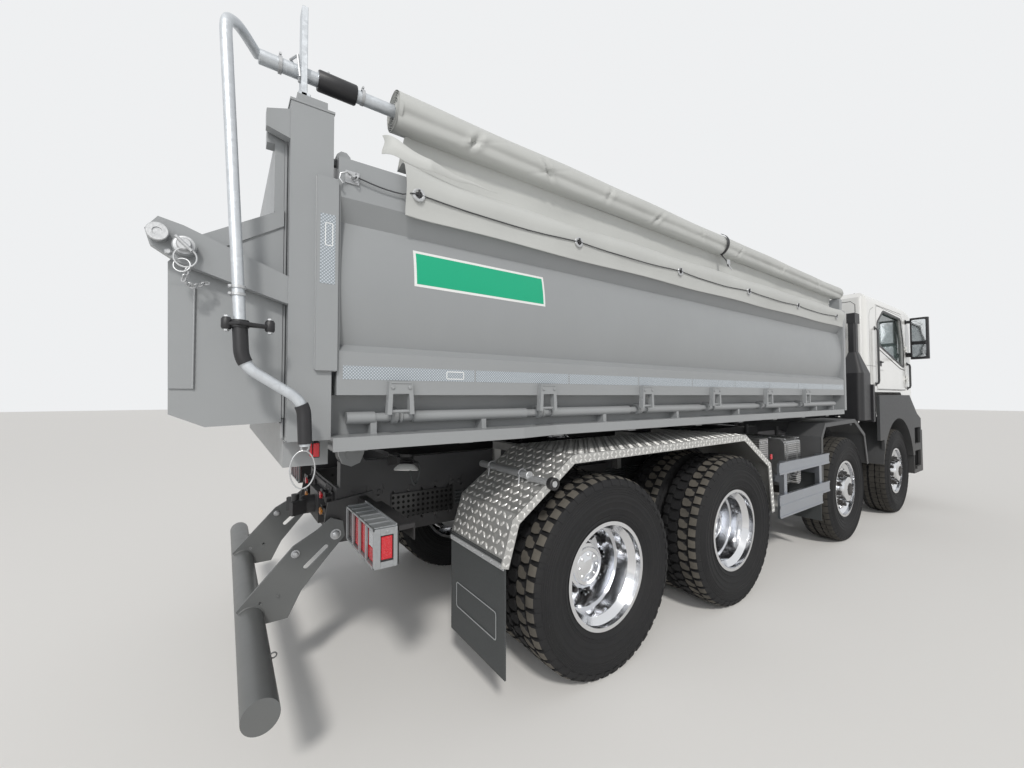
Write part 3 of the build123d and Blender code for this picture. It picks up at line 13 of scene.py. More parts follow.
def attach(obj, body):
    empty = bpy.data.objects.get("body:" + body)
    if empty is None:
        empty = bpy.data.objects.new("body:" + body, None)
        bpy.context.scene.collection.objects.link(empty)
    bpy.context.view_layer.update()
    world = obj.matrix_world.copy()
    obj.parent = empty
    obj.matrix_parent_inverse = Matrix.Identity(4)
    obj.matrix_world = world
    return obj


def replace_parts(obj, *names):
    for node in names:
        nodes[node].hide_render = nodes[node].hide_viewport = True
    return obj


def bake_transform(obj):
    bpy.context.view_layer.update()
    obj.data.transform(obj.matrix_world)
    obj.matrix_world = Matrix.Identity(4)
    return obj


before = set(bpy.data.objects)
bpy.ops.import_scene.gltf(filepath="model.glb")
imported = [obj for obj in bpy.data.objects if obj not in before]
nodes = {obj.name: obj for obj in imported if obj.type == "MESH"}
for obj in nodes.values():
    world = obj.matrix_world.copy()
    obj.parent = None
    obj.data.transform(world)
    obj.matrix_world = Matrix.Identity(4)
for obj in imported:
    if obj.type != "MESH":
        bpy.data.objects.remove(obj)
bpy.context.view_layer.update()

ORIGIN_STATION = 2535.0
MM = 0.001


def at(station, y, z):
    """Point of the frame for a station, a side distance and a height in millimetres."""
    return Vector(((station - ORIGIN_STATION) * MM, y * MM, z * MM))


SIDES = (("right", -1), ("left", 1))
mirror = {"side": 1}


def sides():
    """Name and sign of each side in turn. spot() mirrors the tuples that it gets meanwhile."""
    for name, sign in SIDES:
        mirror["side"] = sign
        yield name, sign
    mirror["side"] = 1


def spot(point):
    """Point of the frame for a tuple of at()'s values, on the present side. A Vector stays as it is."""
    if isinstance(point, Vector):
        return point
    station, y, z = point
    return at(station, mirror["side"] * y, z)


def turns(count):
    """Angles that divide a full turn evenly."""
    return [2 * math.pi * i / count for i in range(count)]


def circle(center, side, up, radius, count):
    """Points round a center, in the plane of the directions side and up."""
    return [center + (side * math.cos(a) + up * math.sin(a)) * radius for a in turns(count)]


def wall(rings, count, closed=False):
    """Faces between rings of count points each, and from the last ring to the first where closed."""
    faces = []
    for r in range(rings if closed else rings - 1):
        low, high = r * count, (r + 1) % rings * count
        for i in range(count):
            j = (i + 1) % count
            faces.append((low + i, low + j, high + j, high + i))
    return faces


def flat(rows):
    """The items of all rows in one list."""
    return [item for row in rows for item in row]


# Materials


class Shader:
    """A node material under construction, with short calls for the nodes that repeat."""

    def __init__(self, name):
        self.material = bpy.data.materials.new(name)
        self.material.use_nodes = True
        self.tree = self.material.node_tree
        self.tree.nodes.clear()
        self.output = self.tree.nodes.new("ShaderNodeOutputMaterial")
        self.bsdf = self.tree.nodes.new("ShaderNodeBsdfPrincipled")
        self.tree.links.new(self.bsdf.outputs["BSDF"], self.output.inputs["Surface"])
        coords = self.tree.nodes.new("ShaderNodeTexCoord")
        self.place = coords.outputs["Object"]

    def link(self, source, target):
        """Joins an output to an input."""
        self.tree.links.new(source, target)

    def set(self, **values):
        """Sets constants on the shader's own inputs. An underscore stands for a space."""
        for key, value in values.items():
            self.bsdf.inputs[key.replace("_", " ")].default_value = value

    def scaled(self, factor, source=None, turn=(0, 0, 0)):
        """Coordinates stretched and turned."""
        mapping = self.tree.nodes.new("ShaderNodeMapping")
        mapping.inputs["Scale"].default_value = factor
        mapping.inputs["Rotation"].default_value = turn
        self.link(source or self.place, mapping.inputs["Vector"])
        return mapping.outputs["Vector"]

    def noise(self, scale, detail=3.0, rough=0.55, source=None, stretch=None):
        """Cloudy mask."""
        node = self.tree.nodes.new("ShaderNodeTexNoise")
        node.inputs["Scale"].default_value = scale
        node.inputs["Detail"].default_value = detail
        node.inputs["Roughness"].default_value = rough
        place = self.scaled(stretch) if stretch else self.place
        self.link(source or place, node.inputs["Vector"])
        return node.outputs["Fac"]

    def cells(self, scale, output="Color"):
        """Pattern of random cells."""
        node = self.tree.nodes.new("ShaderNodeTexVoronoi")
        node.inputs["Scale"].default_value = scale
        self.link(self.place, node.inputs["Vector"])
        return node.outputs[output]

    def wave(self, scale, direction):
        """Mask of even bands."""
        node = self.tree.nodes.new("ShaderNodeTexWave")
        node.bands_direction = direction
        node.inputs["Scale"].default_value = scale
        self.link(self.place, node.inputs["Vector"])
        return node.outputs["Fac"]

    def ramp(self, value, stops):
        """Colour of a value, between stops of (position, colour)."""
        node = self.tree.nodes.new("ShaderNodeValToRGB")
        ramp = node.color_ramp
        ramp.elements[0].position, ramp.elements[0].color = stops[0][0], as_color(stops[0][1])
        ramp.elements[1].position, ramp.elements[1].color = stops[-1][0], as_color(stops[-1][1])
        for position, color in stops[1:-1]:
            ramp.elements.new(position).color = as_color(color)
        self.link(value, node.inputs["Fac"])
        return node.outputs["Color"]

    def mix(self, factor, low, high):
        """Colour between low and high."""
        node = self.tree.nodes.new("ShaderNodeMix")
        node.data_type = "RGBA"
        for key, value in (("Factor", factor), ("A", low), ("B", high)):
            socket = next(s for s in node.inputs if s.name == key and
                          s.type == ("VALUE" if key == "Factor" else "RGBA"))
            if isinstance(value, bpy.types.NodeSocket):
                self.link(value, socket)
            else:
                socket.default_value = value if key == "Factor" else as_color(value)
        return next(s for s in node.outputs if s.type == "RGBA")

    def math(self, operation, first, second=0.0, clamp=False):
        """Result of a sum on outputs or numbers."""
        node = self.tree.nodes.new("ShaderNodeMath")
        node.operation = operation
        node.use_clamp = clamp
        for socket, value in zip(node.inputs, (first, second)):
            if isinstance(value, bpy.types.NodeSocket):
                self.link(value, socket)
            else:
                socket.default_value = value
        return node.outputs["Value"]

    def axis(self, letter, source=None):
        """One coordinate of a place."""
        node = self.tree.nodes.new("ShaderNodeSeparateXYZ")
        self.link(source or self.place, node.inputs["Vector"])
        return node.outputs[letter]

    def times(self, first, second):
        """Product of two values."""
        return self.math("MULTIPLY", first, second)

    def plus(self, first, second, clamp=False):
        """Sum of two values, kept between 0 and 1 where clamped."""
        return self.math("ADD", first, second, clamp)

    def graded(self, value, factor, base):
        """A value times a factor, on top of a base."""
        return self.plus(self.times(value, factor), base)

    def tones(self, mask, color, low, high):
        """A colour between two shades of itself, as the mask says."""
        return self.mix(mask, shade(color, low), shade(color, high))

    def stain(self, base, mask, amount, color):
        """A base with another colour laid over it in part."""
        return self.mix(self.times(mask, amount), base, color)

    def dusted(self, base, dust, top, patches):
        """Mask of road dust that fades out at the height top, and the base with the dust on it."""
        low = self.math("SUBTRACT", 1.0, self.math("DIVIDE", self.axis("Z"), top), True)
        grime = self.times(self.times(low, self.noise(patches, 6.0, 0.7)), dust * 2)
        return grime, self.mix(grime, base, ROAD_DUST)

    def bump(self, height, distance, strength=1.0, below=None):
        """Normal with a relief."""
        node = self.tree.nodes.new("ShaderNodeBump")
        node.inputs["Strength"].default_value = strength
        node.inputs["Distance"].default_value = distance
        self.link(height, node.inputs["Height"])
        if below is not None:
            self.link(below, node.inputs["Normal"])
        return node.outputs["Normal"]

    def finish(self, color=None, roughness=None, normal=None):
        """Links the results and returns the material."""
        if color is not None:
            self.link(color, self.bsdf.inputs["Base Color"])
        if roughness is not None:
            self.link(roughness, self.bsdf.inputs["Roughness"])
        if normal is not None:
            self.link(normal, self.bsdf.inputs["Normal"])
        return self.material


def as_color(value):
    """Four channels of a grey value or a colour."""
    if isinstance(value, (int, float)):
        return (value, value, value, 1.0)
    return tuple(value) + (1.0,) * (4 - len(value))


def shade(color, factor):
    """Colour made darker or lighter by a factor."""
    return tuple(min(1.0, channel * factor) for channel in color)


ROAD_DUST = (0.36, 0.30, 0.23)


def paint(name, color, gloss=0.32, dust=0.35, dust_top=1.2, metallic=0.0, coat=0.0):
    """Sprayed paint with cloudy variation, fine orange peel and road dust towards the ground."""
    shader = Shader(name)
    clouds = shader.noise(1.7, 4.0)
    streaks = shader.noise(9.0, 5.0, 0.7, stretch=(1.0, 1.0, 0.22))
    base = shader.tones(clouds, color, 0.94, 1.06)
    base = shader.stain(base, streaks, 0.16, shade(color, 0.72))
    grime, base = shader.dusted(base, dust, dust_top, 6.0)
    rough = shader.graded(shader.noise(14.0, 3.0), 0.12, gloss - 0.05)
    rough = shader.plus(rough, shader.times(grime, 0.4), True)
    shader.set(Metallic=metallic, Coat_Weight=coat, Coat_Roughness=0.12)
    peel = shader.bump(shader.noise(420.0, 2.0), 0.0002, 0.35)
    return shader.finish(base, rough, peel)


def plastic(name, color, rough=0.55, grain=900.0, dust=0.07, dust_top=1.3):
    """Moulded plastic with leather-like grain and dust in its lower parts."""
    shader = Shader(name)
    base = shader.tones(shader.noise(3.0), color, 0.85, 1.15)
    _, base = shader.dusted(base, dust, dust_top, 7.0)
    roughness = shader.graded(shader.noise(25.0), 0.15, rough - 0.07)
    relief = shader.bump(shader.cells(grain, "Distance"), 0.0002, 0.5)
    return shader.finish(base, roughness, relief)


def bare_metal(name, color, rough=0.3, brush=(1.0, 40.0, 40.0), wear=0.1, dust=0.1):
    """Bare metal with brushing along one axis and thin dust."""
    shader = Shader(name)
    shader.set(Metallic=1.0)
    lines = shader.noise(18.0, 3.0, source=shader.scaled(brush))
    base = shader.tones(lines, color, 0.9, 1.08)
    stain = shader.times(shader.noise(5.0, 6.0, 0.65), wear)
    base = shader.mix(stain, base, shade(color, 0.45))
    base = shader.stain(base, shader.noise(11.0, 5.0), dust, ROAD_DUST)
    roughness = shader.graded(lines, 0.14, rough - 0.05)
    return shader.finish(base, roughness, shader.bump(lines, 0.0002, 0.25))


def galvanised(name, color, spangle_size=75.0):
    """Hot-dip zinc: spangle of mixed greys with small lumps."""
    shader = Shader(name)
    shader.set(Metallic=0.6)
    spangle = shader.cells(spangle_size)
    grey = shader.ramp(spangle, [(0.0, shade(color, 0.92)), (1.0, shade(color, 1.06))])
    grey = shader.stain(grey, shader.noise(8.0, 5.0), 0.22, shade(color, 0.65))
    roughness = shader.graded(spangle, 0.18, 0.34)
    return shader.finish(grey, roughness, shader.bump(shader.noise(60.0, 4.0), 0.0008, 0.3))


def rubber(name, color, dust, rough):
    """Black rubber with road dust rubbed into its raised parts."""
    shader = Shader(name)
    shader.set(Specular_IOR_Level=0.3)
    patch = shader.noise(7.0, 8.0, 0.72)
    fine = shader.noise(120.0, 4.0, 0.7)
    film = shader.times(shader.ramp(patch, [(0.22, 0.35), (0.72, 1.0)]), dust)
    base = shader.tones(fine, color, 0.8, 1.7)
    base = shader.mix(film, base, (0.27, 0.245, 0.205))
    roughness = shader.graded(fine, 0.12, rough)
    return shader.finish(base, roughness, shader.bump(fine, 0.0006, 0.4))


def tarp_cloth(name, color):
    """Coated tarpaulin: a plain weave under a satin coat, with handling marks."""
    shader = Shader(name)
    weave = shader.times(shader.wave(210.0, "X"), shader.wave(210.0, "Z"))
    cloud = shader.noise(2.4, 5.0, 0.6)
    base = shader.tones(cloud, color, 0.88, 1.08)
    creases = shader.noise(5.0, 7.0, 0.6, stretch=(0.35, 1.0, 1.6))
    base = shader.stain(base, creases, 0.22, shade(color, 0.66))
    roughness = shader.graded(cloud, 0.15, 0.48)
    relief = shader.bump(weave, 0.0003, 0.3, below=shader.bump(creases, 0.006, 0.35))
    shader.set(Sheen_Weight=0.08)
    return shader.finish(base, roughness, relief)


def glass(name, tint):
    """Tinted safety glass with faint wipe marks."""
    shader = Shader(name)
    shader.set(Transmission_Weight=0.92, IOR=1.45)
    base = shader.tones(shader.noise(2.0), tint, 0.9, 1.1)
    smear = shader.graded(shader.noise(9.0, 5.0), 0.05, 0.03)
    return shader.finish(base, smear, shader.bump(shader.noise(1.1), 0.001, 0.08))


def lens(name, tint, ribs=260.0):
    """Moulded lamp lens with fine prisms."""
    shader = Shader(name)
    shader.set(Transmission_Weight=0.12, IOR=1.49, Coat_Weight=0.6)
    prisms = shader.times(shader.wave(ribs, "Y"), shader.wave(ribs, "Z"))
    base = shader.tones(prisms, tint, 0.72, 1.15)
    rough = shader.graded(prisms, 0.08, 0.12)
    return shader.finish(base, rough, shader.bump(prisms, 0.0012, 0.6))


def weave_trim(name, color):
    """Seat cloth with a fine two-way weave."""
    shader = Shader(name)
    threads = shader.times(shader.wave(180.0, "X"), shader.wave(180.0, "Y"))
    base = shader.tones(threads, color, 0.7, 1.4)
    base = shader.stain(base, shader.noise(4.0), 0.3, shade(color, 1.5))
    rough = shader.graded(threads, 0.1, 0.8)
    shader.set(Sheen_Weight=0.2)
    return shader.finish(base, rough, shader.bump(threads, 0.0005, 0.4))


def chequer(name, low, high, metallic=0.7):
    """Worn aluminium tread plate; its raised bars get a lighter copy, a painted highlight that makes the
    sheet look duller.
    """
    shader = Shader(name)
    shader.set(Metallic=metallic)
    mottled = shader.noise(26.0, 6.0, 0.7)
    base = shader.mix(mottled, low, high)
    grime = shader.times(shader.noise(5.0, 6.0, 0.7), 0.3)
    base = shader.mix(grime, base, (0.36, 0.35, 0.33))
    rough = shader.graded(mottled, 0.25, 0.26)
    return shader.finish(base, rough, shader.bump(shader.noise(90.0, 4.0), 0.0006, 0.35))


def dot_lattice(shader, pitch, size, turn=0.0):
    """Mask of round dots on a square lattice in the plane of X and Z, pitch dots to the metre."""
    lattice = shader.scaled((pitch, pitch, pitch), turn=(0, turn, 0))
    cell = shader.tree.nodes.new("ShaderNodeVectorMath")
    cell.operation = "FRACTION"
    shader.link(lattice, cell.inputs[0])
    x = shader.math("SUBTRACT", shader.axis("X", cell.outputs[0]), 0.5)
    z = shader.math("SUBTRACT", shader.axis("Z", cell.outputs[0]), 0.5)
    radius = shader.plus(shader.times(x, x), shader.times(z, z))
    return shader.math("LESS_THAN", radius, size)


def reflective_tape(name):
    """Pale retro-reflective tape with a diagonal lattice of light dots under its film."""
    shader = Shader(name)
    dots = dot_lattice(shader, 120.0, 0.11, math.radians(45))
    base = shader.mix(dots, (0.27, 0.30, 0.325), (0.49, 0.535, 0.58))
    base = shader.stain(base, shader.noise(4.0), 0.25, (0.32, 0.35, 0.37))
    rough = shader.graded(dots, 0.1, 0.25)
    shader.set(Metallic=0.1, Coat_Weight=0.3)
    return shader.finish(base, rough, shader.bump(dots, 0.0002, 0.3))


def perforated(name, bright=0.47, pitch=55.0):
    """Shield: metal sheet with rows of round holes, painted near black as painted shade in them."""
    shader = Shader(name)
    shader.set(Metallic=0.9)
    hole = dot_lattice(shader, pitch, 0.075)
    metal = shader.mix(shader.noise(14.0, 5.0), bright * 0.77, bright * 1.23)
    # The holes are painted near black: painted shade in the holes.
    base = shader.mix(hole, metal, 0.015)
    rough = shader.graded(hole, 0.5, 0.32)
    sunk = shader.math("SUBTRACT", 1.0, hole)
    return shader.finish(base, rough, shader.bump(sunk, 0.002, 0.7))


GREY_PAINT = (0.285, 0.297, 0.305)
materials = {
    "body": paint("body_paint", GREY_PAINT, gloss=0.36, dust=0.07, dust_top=2.0),
    "cab": paint("cab_paint", (0.80, 0.80, 0.78), gloss=0.2, dust=0.05, coat=0.5),
    "chassis": paint("chassis_paint", (0.040, 0.041, 0.044), gloss=0.45, dust=0.08),
    "guard": paint("guard_paint", (0.115, 0.122, 0.124), gloss=0.4, dust=0.05),
    "axle": paint("axle_black", (0.022, 0.022, 0.024), gloss=0.5, dust=0.1),
    "engine": paint("engine_grey", (0.07, 0.07, 0.075), gloss=0.55, dust=0.1),
    "dark_plastic": plastic("dark_plastic", (0.048, 0.050, 0.053)),
    "black_plastic": plastic("black_plastic", (0.016, 0.016, 0.018), rough=0.45),
    "grey_plastic": plastic("grey_plastic", (0.085, 0.087, 0.09)),
    "galvanised": galvanised("galvanised_steel", (0.60, 0.63, 0.66)),
    "zinc": galvanised("zinc_fittings", (0.50, 0.51, 0.52), spangle_size=190.0),
    # The lamp guards' zinc is darker than the fittings' zinc: partly its duller grey, partly painted shade on
    # the guards.
    "guard_zinc": galvanised("lamp_guard_zinc", (0.36, 0.375, 0.385), spangle_size=120.0),
    "aluminium": bare_metal("anodised_planks", (0.46, 0.49, 0.54), rough=0.34, wear=0.2),
    "polished": bare_metal("polished_rim", (0.80, 0.81, 0.83), rough=0.12, brush=(30.0, 1.0, 30.0),
                           wear=0.08, dust=0.05),
    "chrome": bare_metal("chrome_rod", (0.70, 0.71, 0.73), rough=0.1, wear=0.03, dust=0.02),
    "chequer": chequer("tread_plate", (0.42, 0.42, 0.41), (0.62, 0.62, 0.61)),
    # The bars are a lighter copy of the tread plate: painted highlight on the raised bars.
    "tread_bar": chequer("tread_bars", (0.62, 0.62, 0.60), (0.80, 0.80, 0.78), metallic=0.35),
    "perforated": perforated("silencer_shield"),
    "tyre": rubber("tyre_rubber", color=(0.008, 0.0085, 0.010), dust=0.03, rough=0.7),
    # The front tread is a copy of the rear one with less dust on it: painted shade on the front tyres.
    "tread_rear": rubber("rear_tread_rubber", color=(0.016, 0.016, 0.016), dust=0.48, rough=0.85),
    "shaded_front_tread": rubber("shaded_front_tread_rubber", color=(0.014, 0.014, 0.014), dust=0.2, rough=0.85),
    "rubber": rubber("flap_rubber", color=(0.042, 0.046, 0.048), dust=0.03, rough=0.55),
    "tarp": tarp_cloth("tarp_cloth", (0.50, 0.51, 0.495)),
    "glass": glass("tinted_glass", (0.30, 0.36, 0.35)),
    "red_lens": lens("red_lens", (0.78, 0.008, 0.022)),
    "amber_lens": lens("amber_lens", (0.85, 0.30, 0.02)),
    "clear_lens": lens("clear_lens", (0.80, 0.83, 0.86)),
    "dark_lens": lens("dark_lens", (0.10, 0.035, 0.04)),
    "lamp_glass": lens("lamp_glass", (0.16, 0.175, 0.19), ribs=90.0),
    "trim": weave_trim("seat_cloth", (0.05, 0.052, 0.06)),
    "tape": reflective_tape("reflective_tape"),
    "mirror": bare_metal("mirror_pane", (0.75, 0.78, 0.80), rough=0.06, brush=(1.0, 1.0, 1.0),
                         wear=0.03, dust=0.02),
    "green": paint("green_film", (0.004, 0.36, 0.19), gloss=0.3, dust=0.0),
    "grey_film": plastic("grey_film", (0.30, 0.32, 0.33), rough=0.4),
    "white_shell": plastic("white_shell", (0.72, 0.73, 0.72), rough=0.35, dust=0.05),
    "perforated_dark": perforated("rail_cover", 0.09, pitch=32.0),
}

LOOK_NODES = {
    "chassis": "chassis_frame tipping_subframe cylinder_barrel",
    "axle": "steered_axles driven_axles",
    "engine": "engine_block",
    "chequer": "rear_fenders",
    "rubber": "mud_flaps",
    "grey_plastic": "second_axle_fenders",
    "aluminium": "side_guards",
    "perforated": "tanks_and_silencer",
    "dark_plastic": "front_fenders_and_steps front_bumper",
    "lamp_glass": "head_lamps",
    "galvanised": "rear_lamps tarp_crank",
    "black_plastic": "air_intake mirrors grille_and_visor",
    "guard": "underrun_guard",
    "cab": "cab_shell door_left door_right",
    "glass": "windscreen door_glass_left door_glass_right",
    "trim": "cab_interior",
    "tarp": "tarp_roll tarp_flap",
    "body": "load_body lock_shafts body_posts front_wall side_board_left side_board_right tailgate",
}
LOOK_STARTS = {"tyre": "tyre", "rim": "polished", "cylinder_stage": "chrome"}
node_looks = {node: look for look, names in LOOK_NODES.items() for node in names.split()}


def look_of(name):
    """Look of a CAD node, by its name or by how its name starts."""
    if name in node_looks:
        return node_looks[name]
    return next((look for start, look in LOOK_STARTS.items() if name.startswith(start)), "axle")


for node_name, node_object in nodes.items():
    for material_slot in node_object.material_slots:
        material_slot.material = materials[look_of(node_name)]


# Mesh helpers


def piece(name, vertices, faces, look, body, smooth=True, sharp_angle=35.0):
    """New mesh object in the shared frame, in metres, riding on a body, or on none."""
    mesh = bpy.data.meshes.new(name)
    mesh.from_pydata([tuple(v) for v in vertices], [], faces)
    mesh.validate()
    item = bpy.data.objects.new(name, mesh)
    bpy.context.collection.objects.link(item)
    mesh.materials.append(materials[look])
    if smooth:
        mesh.shade_smooth()
        mesh.set_sharp_from_angle(angle=math.radians(sharp_angle))
    if body:
        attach(item, body)
    return item


class Build:
    """Collects vertices and faces of many small forms, to become one mesh. Points go through spot()."""

    def __init__(self):
        self.vertices = []
        self.faces = []

    def add(self, vertices, faces):
        """Adds vertices, and faces that count them from 0."""
        base = len(self.vertices)
        self.vertices.extend(vertices)
        self.faces.extend([tuple(base + i for i in face) for face in faces])

    def box(self, low, high, chamfer=0.002):
        """Box between two corners, with its edges chamfered."""
        low, high = spot(low), spot(high)
        x0, y0, z0 = map(min, low, high)
        x1, y1, z1 = map(max, low, high)
        c = min(chamfer, (x1 - x0) / 3, (y1 - y0) / 3, (z1 - z0) / 3)
        if c <= 0:
            corners = [(x, y, z) for z in (z0, z1) for y in (y0, y1) for x in (x0, x1)]
            self.add(corners, [(0, 2, 3, 1), (4, 5, 7, 6), (0, 1, 5, 4), (2, 6, 7, 3), (0, 4, 6, 2),
                               (1, 3, 7, 5)])
            return
        shape = bmesh.new()
        bmesh.ops.create_cube(shape, size=1.0)
        for vertex in shape.verts:
            vertex.co = Vector(((x0 + x1) / 2 + vertex.co.x * (x1 - x0),
                                (y0 + y1) / 2 + vertex.co.y * (y1 - y0),
                                (z0 + z1) / 2 + vertex.co.z * (z1 - z0)))
        bmesh.ops.bevel(shape, geom=shape.edges[:], offset=c, segments=1, affect="EDGES")
        self.take(shape)

    def boxes(self, chamfer, *corners):
        """Boxes between pairs of corners, with one chamfer."""
        for low, high in corners:
            self.box(low, high, chamfer)

    def take(self, shape):
        """Adds a bmesh shape and frees it."""
        shape.verts.index_update()
        self.add([tuple(v.co) for v in shape.verts], [tuple(v.index for v in f.verts) for f in shape.faces])
        shape.free()

    def revolve(self, center, axis, profile, count=48, closed=False):
        """Turns a profile of (radius, distance along the axis) about the axis through center."""
        axis = Vector(axis).normalized()
        side = axis.orthogonal().normalized()
        up = axis.cross(side)
        center = spot(center)
        rings = [circle(center + axis * along, side, up, radius, count) for radius, along in profile]
        self.add(flat(rings), wall(len(rings), count, closed))

    def rod(self, start, end, radius, count=20):
        """Capped round bar between two points."""
        start, end = spot(start), spot(end)
        length = (end - start).length
        edge = radius * 0.12
        profile = [(0, 0), (radius - edge, 0), (radius, edge), (radius, length - edge),
                   (radius - edge, length), (0, length)]
        self.revolve(start, end - start, profile, count)

    def tube(self, points, radius, count=12):
        """Round tube that follows points, with its ends closed."""
        points = [spot(p) for p in points]
        rings = []
        normal = None
        for i, point in enumerate(points):
            ahead = (points[min(i + 1, len(points) - 1)] - points[max(i - 1, 0)]).normalized()
            if normal is None:
                normal = ahead.orthogonal().normalized()
            normal = (normal - ahead * normal.dot(ahead)).normalized()
            rings.append(circle(point, normal, ahead.cross(normal), radius, count))
        last = (len(rings) - 1) * count
        ends = [tuple(range(count))[::-1], tuple(range(last, last + count))]
        self.add(flat(rings), wall(len(rings), count) + ends)

    def bolt(self, place, direction, size):
        """Hexagon head on a washer, standing off a face."""
        direction = Vector(direction).normalized()
        place = spot(place)
        tall = size * 0.62
        self.revolve(place, direction, [(0, 0), (size * 1.15, 0), (size * 1.15, size * 0.16),
                                        (0, size * 0.16)], 18)
        self.revolve(place + direction * size * 0.16, direction,
                     [(size, 0), (size, tall * 0.82), (size * 0.82, tall), (0, tall)], 6)

    def bolts(self, direction, size, *places):
        """Bolts of one size and direction."""
        for place in places:
            self.bolt(place, direction, size)

    def piece(self, name, look, body, **settings):
        """Makes the mesh."""
        return piece(name, self.vertices, self.faces, look, body, **settings)


def rounded_corner(before, here, after, reach, steps):
    """Points of a curve that rounds a corner off over reach before and after it."""
    start = here + (before - here).normalized() * reach
    end = here + (after - here).normalized() * reach
    shares = [n / steps for n in range(steps + 1)]
    return [start * (1 - t) ** 2 + here * (2 * t * (1 - t)) + end * t ** 2 for t in shares]


def rounded_loop(points, reach, steps=6):
    """Closed loop of (a, b) points with its corners rounded."""
    points = [Vector(p) for p in points]
    around = zip(points[-1:] + points, points, points[1:] + points[:1])
    return flat(rounded_corner(*corner, reach, steps) for corner in around)


def strip(build, points, out, width, rise, closed=False):
    """Flat strip of a width and a height that follows points on a face whose outward direction is out."""
    points = [spot(p) for p in points]
    out = Vector(out).normalized()
    count = len(points)
    rings = []
    for i, point in enumerate(points):
        if closed:
            ahead = points[(i + 1) % count] - points[i - 1]
        else:
            ahead = points[min(i + 1, count - 1)] - points[max(i - 1, 0)]
        across = ahead.normalized().cross(out)
        rings.append([point - across * width / 2, point - across * width * 0.42 + out * rise,
                      point + across * width * 0.42 + out * rise, point + across * width / 2])
    faces = []
    spans = count if closed else count - 1
    for i in range(spans):
        low, high = 4 * i, 4 * ((i + 1) % count)
        faces += [(low + k, low + k + 1, high + k + 1, high + k) for k in range(3)]
    if not closed:
        faces += [(0, 3, 2, 1), (4 * count - 4, 4 * count - 3, 4 * count - 2, 4 * count - 1)]
    build.add(flat(rings), faces)


# Tyres with their tread and sidewall rings

TYRE_RADIUS = 0.550
CARCASS_RADIUS = 0.533
LUG_BASE = CARCASS_RADIUS - 0.002
TREAD_HALF = 0.131
PITCHES = 46
FIRST_AXLE, SECOND_AXLE, THIRD_AXLE, FOURTH_AXLE = 5630.0, 3750.0, 1380.0, 0.0
FRONT_TYRE_Y, OUTER_TYRE_Y, INNER_TYRE_Y = 1075.0, 1098.0, 756.0
WHEEL_Z = 550.0

SIDEWALL = [
    # radius, half width
    (0.2865, 0.100), (0.2865, 0.117), (0.300, 0.1185), (0.314, 0.128), (0.322, 0.1345), (0.327, 0.1385),
    (0.331, 0.1350), (0.340, 0.1370), (0.343, 0.1395), (0.346, 0.1375), (0.366, 0.1430), (0.370, 0.1460),
    (0.375, 0.1460), (0.379, 0.1435), (0.408, 0.1470), (0.411, 0.1490), (0.414, 0.1472), (0.430, 0.1476),
    (0.434, 0.1500), (0.440, 0.1500), (0.444, 0.1472), (0.452, 0.1468), (0.455, 0.1490), (0.458, 0.1464),
    (0.465, 0.1460), (0.468, 0.1484), (0.471, 0.1456), (0.478, 0.1450), (0.481, 0.1474), (0.484, 0.1444),
    (0.491, 0.1436), (0.494, 0.1458), (0.497, 0.1424),
    (0.512, 0.1405), (0.524, 0.1360), (0.531, 0.1300)]
INNER_LINER = [(0.520, 0.105), (0.430, 0.125), (0.320, 0.108)]
SHOULDER_TOP = [
    # radius, distance across, from the tread down to the sidewall
    (TYRE_RADIUS - 0.0005, 0.084), (TYRE_RADIUS - 0.002, 0.112), (TYRE_RADIUS - 0.011, 0.131),
    (0.522, 0.1400), (0.503, 0.1455)]
SHOULDER_FOOT = [(0.530, 0.084), (0.530, 0.112), (0.527, 0.128), (0.516, 0.134), (0.503, 0.1425)]
CENTRE_BLOCK = [
    # distance along, distance across
    (-0.030, 0.010), (-0.018, 0.003), (0.010, 0.004), (0.029, 0.014), (0.031, 0.046), (0.022, 0.074),
    (-0.008, 0.076), (-0.014, 0.058), (-0.028, 0.044)]


def carcass(build, center):
    """Closed tyre body without its tread, turned from the sidewall line."""
    outer = SIDEWALL + [(CARCASS_RADIUS, 0.118), (CARCASS_RADIUS + 0.001, 0.0)]
    profile = outer + [(r, -w) for r, w in reversed(outer[:-1])]
    profile += [(r, -w) for r, w in reversed(INNER_LINER)] + [(r, w) for r, w in INNER_LINER]
    build.revolve(center, (0, 1, 0), profile, 96, closed=True)


def wrapped(center, angle, along, radius, across):
    """Point on the tread: an arc length ahead of an angle, at a radius and a distance across."""
    turn = angle + along / TYRE_RADIUS
    return (center[0] + radius * math.cos(turn), center[1] + across, center[2] + radius * math.sin(turn))


def lug(build, center, angle, outline, taper=0.0022, crown=0.0):
    """Tread block with an outline of (along, across) points, drawn in towards its top."""
    mid_along = sum(p[0] for p in outline) / len(outline)
    mid_across = sum(p[1] for p in outline) / len(outline)
    count = len(outline)
    low = [wrapped(center, angle, along, LUG_BASE, across) for along, across in outline]
    high = []
    for along, across in outline:
        shift = Vector((mid_along - along, mid_across - across))
        shift = shift.normalized() * taper if shift.length > 0 else shift
        drop = crown * (abs(across) / TREAD_HALF) ** 3
        high.append(wrapped(center, angle, along + shift.x, TYRE_RADIUS - drop, across + shift.y))
    faces = [tuple(count + i for i in range(count))]
    faces += [(i, (i + 1) % count, count + (i + 1) % count, count + i) for i in range(count)]
    build.add(low + high, faces)


